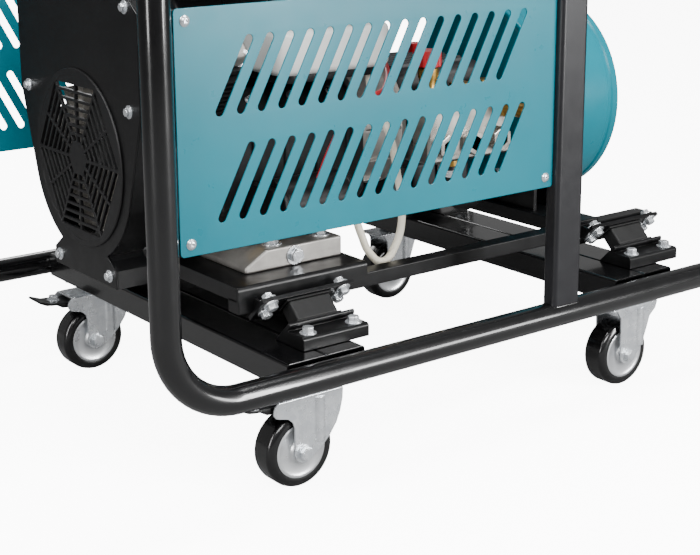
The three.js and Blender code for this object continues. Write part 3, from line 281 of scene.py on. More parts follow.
    def hose(self, points: list[Point], radius: float, sides: int = 20, smooth: int = 8) -> "Shape":
        """Add a soft round run through points.

        Args:
            points: what its centreline passes through.
            radius: its own radius.
            sides: how many sides it has.
            smooth: how many steps lie between two points.

        Returns:
            This shape.
        """
        curve = bpy.data.curves.new("run", "CURVE")
        curve.dimensions, curve.bevel_depth, curve.bevel_resolution = "3D", radius, sides // 4
        curve.use_fill_caps, curve.resolution_u = True, smooth
        spline = curve.splines.new("BEZIER")
        spline.bezier_points.add(len(points) - 1)
        for knot, point in zip(spline.bezier_points, points):
            knot.co, knot.handle_left_type, knot.handle_right_type = point, "AUTO", "AUTO"
        self._take(curve, Matrix.Identity(4))
        return self

    def sheet(self, outline: Outline, holes: list[Outline], thickness: float, at: Matrix,
              soft: float = 0.5) -> "Shape":
        """Add a flat sheet with holes punched in it.

        Args:
            outline: its edge, in the frame's X and Y.
            holes: the edge of each hole.
            thickness: how thick it is, along the frame's Z.
            at: the frame it lies in; the sheet grows from its origin along Z.
            soft: how far its edges are rounded.

        Returns:
            This shape.
        """
        curve = bpy.data.curves.new("sheet", "CURVE")
        curve.dimensions, curve.fill_mode = "2D", "BOTH"
        curve.extrude, curve.bevel_depth, curve.offset = thickness / 2 - soft, soft, -soft
        curve.bevel_resolution = 1
        for loop in [outline, *holes]:
            spline = curve.splines.new("POLY")
            spline.points.add(len(loop) - 1)
            for knot, (a, b) in zip(spline.points, loop):
                knot.co = (a, b, 0.0, 1.0)
            spline.use_cyclic_u = True
        self._take(curve, at @ Matrix.Translation((0, 0, thickness / 2)))
        return self

    def _take(self, curve: bpy.types.Curve, at: Matrix) -> None:
        """Turn a curve into mesh and add it.

        Args:
            curve: the curve, which is used up.
            at: the frame it is placed in.
        """
        holder = bpy.data.objects.new("take", curve)
        bpy.context.collection.objects.link(holder)
        bpy.context.view_layer.update()
        mesh = bpy.data.meshes.new_from_object(holder.evaluated_get(bpy.context.evaluated_depsgraph_get()))
        mesh.transform(at)
        before = set(self.mesh.verts)
        self.mesh.from_mesh(mesh)
        made = [v for v in self.mesh.verts if v not in before]
        bmesh.ops.remove_doubles(self.mesh, verts=made, dist=1e-4)
        self._outward([v for v in self.mesh.verts if v not in before])
        bpy.data.objects.remove(holder)
        bpy.data.curves.remove(curve)
        bpy.data.meshes.remove(mesh)

    def _outward(self, verts: list) -> None:
        """Turn some faces outward.

        Args:
            verts: the vertices of the faces.
        """
        inside = set(verts)
        faces = [f for f in self.mesh.faces if f.verts[0] in inside]
        bmesh.ops.recalc_face_normals(self.mesh, faces=faces)

    def bolt(self, at: Point, direction: Point, flats: float = 13.0, head: float = 6.0,
             washer: float = 11.0, turn: float = 0.0) -> "Shape":
        """Add a hexagon bolt head on its washer.

        Args:
            at: where the washer rests.
            direction: where the head looks.
            flats: the size across the flats.
            head: the head's height.
            washer: the washer's radius, or 0 for none.
            turn: degrees the head is turned.

        Returns:
            This shape.
        """
        place = aimed(at, direction, turn)
        if washer > 0:
            self.rod(washer, 1.8, place, 24, 0.4)
        corner = flats / math.sqrt(3)
        self.rod(corner, head, place @ shifted(0, 0, 1.8), 6, 0.7)
        self.rod(flats * 0.42, 0.7, place @ shifted(0, 0, 1.7 + head), 20, 0.3)
        return self

    def screw(self, at: Point, direction: Point, radius: float = 6.0) -> "Shape":
        """Add a domed flange screw with a hexagon socket.

        Args:
            at: where its flange rests.
            direction: where its head looks.
            radius: the flange's radius.

        Returns:
            This shape.
        """
        place = aimed(at, direction)
        dome = [(0, 1.2), (radius * 0.34, 1.2), (radius * 0.38, 3.4), (radius * 0.6, 3.1),
                (radius * 0.8, 2.2),
                (radius * 0.9, 1.2), (radius, 0.8), (radius, 0.0), (0, 0.0)]
        return self.lathe(dome, place, 24)

    def piece(self, name: str, body: str, finish: "Finish", replaces: tuple[str, ...] = (),
              sharp: float = 35.0) -> bpy.types.Object:
        """Hand the shape over as one piece of the machine, in metres.

        Args:
            name: the piece's name.
            body: the moving body it belongs to.
            finish: what it is finished in.
            replaces: the CAD nodes it stands for.
            sharp: edges bent by more degrees than this stay crisp.

        Returns:
            The finished object.
        """
        bmesh.ops.scale(self.mesh, vec=(MM, MM, MM), verts=self.mesh.verts)
        data = bpy.data.meshes.new(name)
        self.mesh.to_mesh(data)
        self.mesh.free()
        data.shade_smooth()
        data.set_sharp_from_angle(angle=math.radians(sharp))
        data.materials.append(finish.material())
        made = bpy.data.objects.new(name, data)
        bpy.context.collection.objects.link(made)
        flats = made.modifiers.new("flats", "WEIGHTED_NORMAL")
        flats.mode, flats.weight, flats.keep_sharp = "FACE_AREA", 80, True
        if replaces:
            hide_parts(*replaces)
        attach(made, body)
        LOG.info("%s: %d faces on %s", name, len(data.polygons), body)
        return made


# ---------------------------------------------------------------- finishes


def linear(colour: str) -> tuple[float, float, float, float]:
    """Return a hex sRGB colour in linear light."""
    parts = [int(colour[i:i + 2], 16) / 255 for i in (1, 3, 5)]
    return (*[c / 12.92 if c <= 0.04045 else ((c + 0.055) / 1.055) ** 2.4 for c in parts], 1.0)


def add_node(tree: bpy.types.NodeTree, kind: str, settings: dict | None = None,
             inputs: dict | None = None) -> bpy.types.Node:
    """Add a shader node with its settings and links.

    Args:
        tree: the material's node tree.
        kind: the node's type.
        settings: properties of the node.
        inputs: a socket's name or number to a value, or to the socket that feeds it.

    Returns:
        The node.
    """
    node = tree.nodes.new(kind)
    for key, value in (settings or {}).items():
        setattr(node, key, value)
    for key, value in (inputs or {}).items():
        if isinstance(value, bpy.types.NodeSocket):
            tree.links.new(value, node.inputs[key])
        else:
            node.inputs[key].default_value = value
    return node


@dataclass(frozen=True)
class Finish:
    """A surface: its colour, its gloss, and the texture that its making left.

    The tone drifts over `drift_mm`, the gloss over `smudge_mm`, and the relief has grains of
    `grain_mm` raised by `relief_mm`.
    """

    name: str
    slot: str
    colour: str
    shade: str
    roughness: float
    metallic: float = 0.0
    drift_mm: float = 90.0
    smudge_mm: float = 22.0
    smudge: float = 0.08
    grain_mm: float = 2.0
    relief_mm: float = 0.03
    coat: float = 0.0
    specular: float = 0.5
    stretch: Point = (1.0, 1.0, 1.0)

    def relief(self, tree: bpy.types.NodeTree, place: bpy.types.NodeSocket) -> bpy.types.NodeSocket:
        """Return the height of the surface's texture: plain grains of one size."""
        grain = add_node(tree, "ShaderNodeTexNoise", None,
                         {"Vector": place, "Scale": 1 / (self.grain_mm * MM), "Detail": 3.0,
                          "Roughness": 0.55})
        return grain.outputs["Fac"]

    def tone(self, tree: bpy.types.NodeTree, place: bpy.types.NodeSocket) -> bpy.types.NodeSocket:
        """Return how far each point's colour leans to the darker shade.

        Args:
            tree: the material's node tree.
            place: the surface's coordinates.

        Returns:
            The socket that holds it.
        """
        drift = add_node(tree, "ShaderNodeTexNoise", None,
                         {"Vector": place, "Scale": 1 / (self.drift_mm * MM), "Detail": 4.0,
                          "Roughness": 0.6})
        spread = add_node(tree, "ShaderNodeMapRange", None,
                          {"Value": drift.outputs["Fac"], "From Min": 0.35, "From Max": 0.75})
        return spread.outputs["Result"]

    def material(self) -> bpy.types.Material:
        """Return the material, built the first time that it is asked for."""
        found = bpy.data.materials.get(self.name)
        if found is not None:
            return found
        made = bpy.data.materials.new(self.name)
        made.use_nodes = True
        tree = made.node_tree
        tree.nodes.clear()
        where = add_node(tree, "ShaderNodeTexCoord")
        place = add_node(tree, "ShaderNodeMapping", None,
                         {"Vector": where.outputs["Object"], "Scale": self.stretch}).outputs["Vector"]
        plain = where.outputs["Object"]
        colour = add_node(tree, "ShaderNodeMix", {"data_type": "RGBA"},
                          {0: self.tone(tree, plain), 6: linear(self.colour), 7: linear(self.shade)})
        smudge = add_node(tree, "ShaderNodeTexNoise", None,
                          {"Vector": plain, "Scale": 1 / (self.smudge_mm * MM), "Detail": 5.0})
        gloss = add_node(tree, "ShaderNodeMapRange", None,
                         {"Value": smudge.outputs["Fac"], "From Min": 0.3, "From Max": 0.7,
                          "To Min": max(self.roughness - self.smudge, 0.02),
                          "To Max": min(self.roughness + self.smudge, 1.0)})
        bump = add_node(tree, "ShaderNodeBump", None,
                        {"Height": self.relief(tree, place), "Strength": 1.0,
                         "Distance": self.relief_mm * MM})
        shader = add_node(tree, "ShaderNodeBsdfPrincipled", None,
                          {"Base Color": colour.outputs[2], "Roughness": gloss.outputs["Result"],
                           "Normal": bump.outputs["Normal"], "Metallic": self.metallic,
                           "Specular IOR Level": self.specular, "Coat Weight": self.coat,
                           "Coat Roughness": 0.07})
        add_node(tree, "ShaderNodeOutputMaterial", None, {"Surface": shader.outputs["BSDF"]})
        return made


@dataclass(frozen=True)
class PowderCoat(Finish):
    """Baked powder on steel: an orange-peel skin whose waves are a few millimetres across."""

    def relief(self, tree: bpy.types.NodeTree, place: bpy.types.NodeSocket) -> bpy.types.NodeSocket:
        """Return low soft waves."""
        waves = add_node(tree, "ShaderNodeTexVoronoi", {"feature": "SMOOTH_F1"},
                         {"Vector": place, "Scale": 1 / (self.grain_mm * MM), "Smoothness": 1.0})
        return waves.outputs["Distance"]


@dataclass(frozen=True)
class ZincPlate(Finish):
    """Bright zinc on pressed steel: cloudy crystals of uneven brightness."""

    def tone(self, tree: bpy.types.NodeTree, place: bpy.types.NodeSocket) -> bpy.types.NodeSocket:
        """Return patches, each with its own tone.

        Args:
            tree: the material's node tree.
            place: the surface's coordinates.

        Returns:
            The socket that holds it.
        """
        spangle = add_node(tree, "ShaderNodeTexVoronoi", None,
                           {"Vector": place, "Scale": 1 / (self.drift_mm * MM), "Randomness": 1.0})
        patch = add_node(tree, "ShaderNodeSeparateColor", None, {"Color": spangle.outputs["Color"]})
        return patch.outputs["Red"]


@dataclass(frozen=True)
class SandCast(Finish):
    """Metal cast in sand or a die: a pitted skin that the fettler left."""

    def relief(self, tree: bpy.types.NodeTree, place: bpy.types.NodeSocket) -> bpy.types.NodeSocket:
        """Return grains with deeper pits between them.

        Args:
            tree: the material's node tree.
            place: the surface's coordinates.

        Returns:
            The socket that holds it.
        """
        grain = add_node(tree, "ShaderNodeTexNoise", None,
                         {"Vector": place, "Scale": 1 / (self.grain_mm * MM), "Detail": 6.0,
                          "Roughness": 0.7})
        pits = add_node(tree, "ShaderNodeTexVoronoi", None,
                        {"Vector": place, "Scale": 0.4 / (self.grain_mm * MM)})
        both = add_node(tree, "ShaderNodeMath", {"operation": "MULTIPLY"},
                        {0: grain.outputs["Fac"], 1: pits.outputs["Distance"]})
        return both.outputs["Value"]


@dataclass(frozen=True)
class Machined(Finish):
    """Turned or milled metal: fine lines left by the tool, drawn wide enough to show."""

    def relief(self, tree: bpy.types.NodeTree, place: bpy.types.NodeSocket) -> bpy.types.NodeSocket:
        """Return tool lines."""
        lines = add_node(tree, "ShaderNodeTexWave", {"wave_type": "BANDS", "bands_direction": "DIAGONAL"},
                         {"Vector": place, "Scale": 0.3 / (self.grain_mm * MM), "Distortion": 1.5,
                          "Detail": 2.0})
        return lines.outputs["Fac"]


# Gloss black powder on tube: deep black with a tight highlight and faint orange peel.
FRAME_BLACK = PowderCoat("gloss_black_powder_coat", "black_powder_coat", "#09090a", "#050506", 0.24,
                         grain_mm=3.0, relief_mm=0.008, coat=0.6, smudge=0.03, specular=0.35)
# Satin black powder on folded sheet: a broader highlight, with dust that greys it.
SHEET_BLACK = PowderCoat("satin_black_powder_coat", "black_powder_coat", "#0b0b0c", "#070708", 0.36,
                         grain_mm=2.2, relief_mm=0.012, smudge=0.05, specular=0.35)
# Charcoal stoving paint on the posts: a dark grey with a soft sheen.
POST_CHARCOAL = PowderCoat("charcoal_stoving_paint", "charcoal_paint", "#161619", "#101013", 0.34,
                           grain_mm=2.6, relief_mm=0.01, smudge=0.04, specular=0.4)
# Teal powder coat on panels and drum: clean colour under a gloss skin.
TEAL = PowderCoat("teal_powder_coat", "teal_paint", "#006d7c", "#006473", 0.3, grain_mm=3.4,
                  relief_mm=0.01, smudge=0.03, drift_mm=320.0, specular=0.28)
# Zinc plate on pressings and screws: bluish silver with faint spangle.
ZINC = ZincPlate("bright_zinc_plate", "zinc_plate", "#e4e7ea", "#d2d6da", 0.27, metallic=0.8,
                 drift_mm=7.0, grain_mm=2.5, relief_mm=0.002, smudge=0.04)
# Natural rubber blocks: dull black with mould bloom.
BLOCK_RUBBER = Finish("moulded_black_rubber", "black_rubber", "#0a0a0a", "#101010", 0.6, grain_mm=1.6,
                      relief_mm=0.03, specular=0.4)
# Tyre tread: dense rubber, a little shinier where it rolls.
TYRE = Finish("polyurethane_tyre", "tyre_rubber", "#070708", "#0b0b0c", 0.22, grain_mm=1.8, relief_mm=0.01,
              smudge=0.06, coat=0.3)
# Turned hub disc: pale nickel-grey plate with tool lines.
HUB = Machined("nickel_hub_disc", "zinc_plate", "#d8dadc", "#c8cacd", 0.3, metallic=0.8, grain_mm=1.2,
               relief_mm=0.003, smudge=0.04)
# Sand-cast aluminium: warm grey, grainy, duller in the hollows.
CAST_ALLOY = SandCast("sand_cast_aluminium", "cast_aluminium", "#b4b1ac", "#8f8c88", 0.5, metallic=0.85,
                      grain_mm=1.8, relief_mm=0.16, drift_mm=45.0)
# Painted iron barrel and head: near-black, matt, with grit. The same near-black on the engine crankcase's
# body is painted shade: that body is darkened where it lies in shade behind the panels, while the foot cast
# with it stays pale aluminium.
DARK_IRON_AND_PAINTED_SHADE = SandCast("dark_iron_paint_and_painted_shade", "dark_casting", "#1c1d1f", "#121314", 0.5, metallic=0.35, grain_mm=1.6,
                  relief_mm=0.12)
# Ground steel shafts and spindles.
STEEL = Machined("ground_steel", "steel", "#9a9da1", "#85888c", 0.25, metallic=1.0, grain_mm=0.9,
                 relief_mm=0.008)
# Forged brass pump head: warm yellow with darker tarnish in patches.
BRASS = SandCast("forged_brass", "brass", "#c09a52", "#8e6c33", 0.33, metallic=1.0, grain_mm=1.5,
                 relief_mm=0.05, drift_mm=30.0)
# Injection-moulded black nylon: fine spark-eroded texture.
BLACK_NYLON = Finish("spark_textured_black_nylon", "black_plastic", "#0b0b0c", "#111112", 0.42, grain_mm=0.9,
                     relief_mm=0.02, specular=0.4)
# Satin nickel on the pump's forged head: cool silver, worn a little darker round the caps.
NICKEL = SandCast("satin_nickel_plate", "brass", "#b6b3ad", "#918e89", 0.3, metallic=1.0, grain_mm=1.5,
                  relief_mm=0.03, drift_mm=30.0)
# Pale moulded cover of the air cleaner: off-white polypropylene.
PALE_COVER = Finish("off_white_polypropylene", "pale_cover", "#e9eae7", "#dcdedb", 0.42, grain_mm=1.2,
                    relief_mm=0.025)
# Cream silicone hose: slightly waxy.
CREAM = Finish("cream_silicone_hose", "cream_hose", "#efe9d8", "#e0d8c2", 0.4, grain_mm=2.5, relief_mm=0.03)
# Red insulation and the unloader's knob: glossy moulded plastic.
RED = Finish("signal_red_plastic", "red_plastic", "#b3161f", "#98121a", 0.35, grain_mm=1.5, relief_mm=0.02)
# Yellow insulation on the sensor wire.
YELLOW = Finish("yellow_wire_insulation", "cream_hose", "#d9b02a", "#c79d1f", 0.4, grain_mm=1.5,
                relief_mm=0.02)
# Gauge card: white lacquered tin.
GAUGE_CARD = Finish("white_lacquered_tin", "pale_cover", "#f1f2f0", "#e7e8e6", 0.45, grain_mm=1.0,
                    relief_mm=0.01)


# ---------------------------------------------------------------- studio


@dataclass
class Studio:
    """The pale floor, the soft lights and the camera."""

    station: Point = (-1310.6, -1713.3, 792.1)
    heading: float = 37.251
    pitch: float = 13.805
    roll: float = -0.288
    lens: float = 75.56
    shift: float = -0.1
    ambient: float = 0.3
    backdrop: float = 10.0
    floor_glow: float = 9.0
    floor_albedo: float = 0.22

    def build(self) -> None:
        """Set the camera, the lights and the floor."""
        self._camera()
        self._floor()
        self._world()
        self._softbox("overhead", (-200, -500, 2700), (0, 0, 300), 2.6, 0.4, 95.0)
        self._softbox("right_strip", (1150, -2750, 1250), (0, 0, 350), 0.22, 2.2, 100.0)
        self._softbox("panel_sheen", (1750, -2750, 650), (-150, -340, 480), 0.9, 0.7, 42.0)
        self._softbox("left_strip", (-2700, -900, 1300), (0, 0, 350), 0.5, 2.2, 60.0)
        self._softbox("front_key", (-1500, -2900, 2500), (0, 0, 350), 1.6, 1.2, 110.0)
        self._softbox("back_rim", (900, 2600, 2000), (0, 0, 400), 1.6, 0.8, 40.0)

    def _camera(self) -> None:
        """Stand the camera at its station and aim it down at the machine."""
        data = bpy.data.cameras.new("camera")
        data.lens, data.sensor_width, data.shift_y = self.lens, 36.0, self.shift
        data.clip_start, data.clip_end = 0.05, 60.0
        camera = bpy.data.objects.new("camera", data)
        bpy.context.collection.objects.link(camera)
        turn = (Matrix.Rotation(math.radians(-self.heading), 4, "Z")
                @ Matrix.Rotation(math.radians(90.0 - self.pitch), 4, "X")
                @ Matrix.Rotation(math.radians(self.roll), 4, "Z"))
        camera.matrix_world = Matrix.Translation(Vector(self.station) * MM) @ turn
        bpy.context.scene.camera = camera

    def _floor(self) -> None:
        """Lay a wide pale floor."""
        mesh = bmesh.new()
        bmesh.ops.create_grid(mesh, x_segments=2, y_segments=2, size=15.0)
        data = bpy.data.meshes.new("floor")
        mesh.to_mesh(data)
        mesh.free()
        data.materials.append(self._paper())
        floor = bpy.data.objects.new("floor", data)
        bpy.context.collection.objects.link(floor)

    def _paper(self) -> bpy.types.Material:
        """Return backlit white paper, whose glow reaches the lens but not the machine."""
        paper = bpy.data.materials.new("backlit_studio_paper")
        paper.use_nodes = True
        tree = paper.node_tree
        tree.nodes.clear()
        seen = add_node(tree, "ShaderNodeLightPath").outputs["Is Camera Ray"]
        tint = add_node(tree, "ShaderNodeMapRange", None,
                        {"Value": seen, "To Min": self.floor_albedo, "To Max": 0.95})
        glow = add_node(tree, "ShaderNodeMapRange", None,
                        {"Value": seen, "To Min": 0.0, "To Max": self.floor_glow})
        shader = add_node(tree, "ShaderNodeBsdfPrincipled", None,
                          {"Base Color": tint.outputs["Result"], "Roughness": 0.9, "Specular IOR Level": 0.1,
                           "Emission Color": (1.0, 1.0, 1.0, 1.0),
                           "Emission Strength": glow.outputs["Result"]})
        add_node(tree, "ShaderNodeOutputMaterial", None, {"Surface": shader.outputs["BSDF"]})
        return paper

    def _world(self) -> None:
        """Wrap the scene in soft white light."""
        world = bpy.data.worlds.new("studio")
        world.use_nodes = True
        bpy.context.scene.world = world
        tree = world.node_tree
        tree.nodes.clear()
        seen = add_node(tree, "ShaderNodeLightPath").outputs["Is Camera Ray"]
        level = add_node(tree, "ShaderNodeMapRange", None,
                         {"Value": seen, "To Min": self.ambient, "To Max": self.backdrop})
        shade = add_node(tree, "ShaderNodeBackground", None,
                         {"Color": (1.0, 1.0, 1.0, 1.0), "Strength": level.outputs["Result"]})
        add_node(tree, "ShaderNodeOutputWorld", None, {"Surface": shade.outputs["Background"]})

    def _softbox(self, name: str, at: Point, to: Point, wide: float, tall: float, power: float) -> None:
        """Hang a rectangular light.

        Args:
            name: its name.
            at: where it hangs, in millimetres.
            to: what it looks at.
            wide: its width in metres.
            tall: its height in metres.
            power: its power in watts.
        """
        data = bpy.data.lights.new(name, "AREA")
        data.shape, data.size, data.size_y, data.energy = "RECTANGLE", wide, tall, power
        light = bpy.data.objects.new(name, data)
        bpy.context.collection.objects.link(light)
        look = (Vector(to) - Vector(at)).to_track_quat("-Z", "Y").to_matrix().to_4x4()
        light.matrix_world = Matrix.Translation(Vector(at) * MM) @ look


class Side(Enum):
    """The two sides of the machine and their sign along Y."""

    NEAR = -1
    FAR = 1

    @property
    def word(self) -> str:
        """Return the side's word in piece names."""
        return self.name.lower()


# ---------------------------------------------------------------- frame


@dataclass
class TubeFrame:
    """Two loops of bent tube, posts and crossmembers, welded and powder coated."""

    tube: float = 18.0
    half_length: float = 527.0
    half_width: float = 340.0
    base: float = 162.0
    top: float = 862.0
    split: float = 700.0
    bend: float = 94.0
    cross_tube: float = 14.0
    cross_tubes: tuple[float, float] = (-360.0, 141.0)
    post: float = 100.0
    post_half: tuple[float, float] = (25.0, 12.5)
    member: float = 290.0
    member_half: tuple[float, float] = (60.0, 18.0)
    tab_face: float = 339.7
    tab_sheet: float = 3.0
    tab_floors: tuple[float, float] = (347.0, 597.0)
    tab_height: float = 26.0

    def build(self) -> None:
        """Make every tube and its welds."""
        for side in Side:
            self._lower_loop(side)
            self._post(side)
        self._upper()
        for name, at in (("front", -self.member), ("rear", self.member)):
            self._crossmember(name, at)

    def _weld_tabs(self, shape: Shape, side: Side, span: tuple[float, float]) -> None:
        """Add the two tabs that one end of a panel is screwed to.

        Args:
            shape: what they are added to.
            side: the side of the machine.
            span: where they start and end along the machine.
        """
        face = side.value * self.tab_face
        back = face - side.value * self.tab_sheet
        for floor in self.tab_floors:
            shape.box((span[0], min(face, back), floor),
                      (span[1], max(face, back), floor + self.tab_height), 0.8)

    def _lower_loop(self, side: Side) -> None:
        """Bend one lower loop and weld its panel tabs on.

        Args:
            side: the side of the machine.
        """
        x, y = self.half_length, side.value * self.half_width
        shape = Shape().tube([(-x, y, self.split), (-x, y, self.base), (x, y, self.base), (x, y, self.split)],
                             self.tube, self.bend, 40, 16)
        shape.piece(f"lower_loop_tube_{side.word}", "frame", FRAME_BLACK, (f"lower_loop_{side.word}",))
        tabs = Shape()
        self._weld_tabs(tabs, side, (-self.half_length + 10, -477.5))
        tabs.piece(f"leg_tabs_{side.word}", "frame", SHEET_BLACK)

    def _upper(self) -> None:
        """Bend the two upper tubes and set the cross tubes between them."""
        shape = Shape()
        x, low = self.half_length, self.split + 0.3
        for side in Side:
            y = side.value * self.half_width
            shape.tube([(-x, y, low), (-x, y, self.top), (x, y, self.top), (x, y, low)],
                       self.tube, self.bend, 40, 16)
        for at in self.cross_tubes:
            shape.rod(self.cross_tube, 2 * self.half_width,
                      aimed((at, -self.half_width, self.top), (0, 1, 0)), 32)
            for side in Side:
                y = side.value * (self.half_width - self.tube + 1.5)
                shape.lathe([(self.cross_tube - 1, -3), (self.cross_tube + 2, -1.5),
                             (self.cross_tube + 3.2, 2),
                             (self.cross_tube - 1, 3)], aimed((at, y, self.top), (0, side.value, 0)), 32)
        collars = [(self.tube - 2, -9), (self.tube + 0.9, -8), (self.tube + 0.9, 8), (self.tube - 2, 9)]
        shape.piece("upper_frame_tubes", "frame", FRAME_BLACK, ("upper_frame",))
        bands = Shape()
        for side in Side:
            for end in (-1, 1):
                bands.lathe(collars, shifted(end * x, side.value * self.half_width, self.split + 12), 40)
        bands.piece("joint_collars", "frame", SHEET_BLACK)

    def _post(self, side: Side) -> None:
        """Stand one rectangular post on the loop, with its welds and panel tabs.

        Args:
            side: the side of the machine.
        """
        y = side.value * self.half_width
        half_x, half_y = self.post_half
        outline = rounded(self.post - half_x, self.post + half_x, y - half_y, y + half_y, 7.0, 6)
        shape = Shape().prism(outline, self.top - self.base - 2 * 13.2, shifted(0, 0, self.base + 13.2), 0.0)
        self._weld_tabs(shape, side, (46.7, 90.0))
        shape.piece(f"post_tube_{side.word}", "frame", POST_CHARCOAL, (f"post_{side.word}",))
        weld = Shape()
        for z in (self.base, self.top):
            lift = 1 if z == self.base else -1
            foot = z + lift * math.sqrt(self.tube ** 2 - half_y ** 2)
            corners = rounded(self.post - half_x - 1.5, self.post + half_x + 1.5, y - half_y - 1.0,
                              y + half_y + 1.0, 8.0, 5)
            weld.prism(corners, 3.0, shifted(0, 0, foot - 1.5 + lift * 0.8), 1.2)
        weld.piece(f"post_welds_{side.word}", "frame", FRAME_BLACK)

    def _crossmember(self, name: str, at: float) -> None:
        """Set a pair of rectangular tubes side by side between the loops.

        Args:
            name: front or rear.
            at: the pair's middle along the machine.
        """
        half, tall = self.member_half
        reach = self.half_width - self.tube - 0.3
        shape = Shape()
        for low, high in ((at - half, at + 0.3), (at - 0.3, at + half)):
            outer = rounded(low, high, self.base - tall, self.base + tall, 4.0, 4)
            inner = rounded(low + 3, high - 3, self.base - tall + 3, self.base + tall - 3, 2.0, 4)
            shape.sheet(outer, [inner], 2 * reach, Matrix(((1, 0, 0, 0), (0, 0, -1, reach), (0, 1, 0, 0),
                                                          (0, 0, 0, 1))), 0.4)
        shape.piece(f"{name}_crossmember_tubes", "frame", FRAME_BLACK, (f"{name}_crossmember",))


@dataclass
class SidePanel:
    """A pressed side panel with two rows of slanted slots and four screws."""

    side: Side
    left: float = -505.0
    right: float = 74.7
    bottom: float = 346.0
    top: float = 624.0
    outer: float = 342.0
    sheet: float = 2.0
    slots: int = 16
    pitch: float = 28.2
    width: float = 11.0
    inset: float = 56.0
    run: float = 41.0
    rise: float = 78.0
    rows: tuple[float, float] = (384.0, 506.0)
    screw_inset: float = 14.0

    def _slot(self, x: float, z: float, run: float) -> Outline:
        """Return one slot's edge.

        Args:
            x: its lower end's centre along the machine.
            z: that centre's height.
            run: how far it leans along the machine.

        Returns:
            The slot's outline.
        """
        lean = math.degrees(math.atan2(self.rise, run))
        radius = self.width / 2
        return (arc((x, z), radius, lean + 90, lean + 270, 8)
                + arc((x + run, z + self.rise), radius, lean - 90, lean + 90, 8))

    def build(self) -> None:
        """Punch the panel and screw it on."""
        sign, word = self.side.value, self.side.word
        starts = [self.inset + i * self.pitch for i in range(self.slots)]
        if self.side is Side.NEAR:
            holes = [self._slot(self.left + s, z, self.run) for z in self.rows for s in starts]
        else:
            holes = [self._slot(self.right - s, z, -self.run) for z in self.rows for s in starts]
        face = -self.outer if sign < 0 else self.outer
        back = face + self.sheet if sign < 0 else face
        panel = Shape().sheet(rounded(self.left, self.right, self.bottom, self.top, 5.0), holes, self.sheet,
                              shifted(0, back, 0) @ Along.NEAR.value, 0.45)
        panel.piece(f"louvred_panel_{word}", "frame", TEAL, (f"side_panel_{word}",), 28.0)
        screws = Shape()
        for x in (self.left + self.screw_inset, self.right - self.screw_inset):
            for z in (self.bottom + self.screw_inset, self.top - self.screw_inset):
                screws.screw((x, face, z), (0, sign, 0), 6.5)
        screws.piece(f"panel_screws_{word}", "frame", ZINC)


# ---------------------------------------------------------------- casters


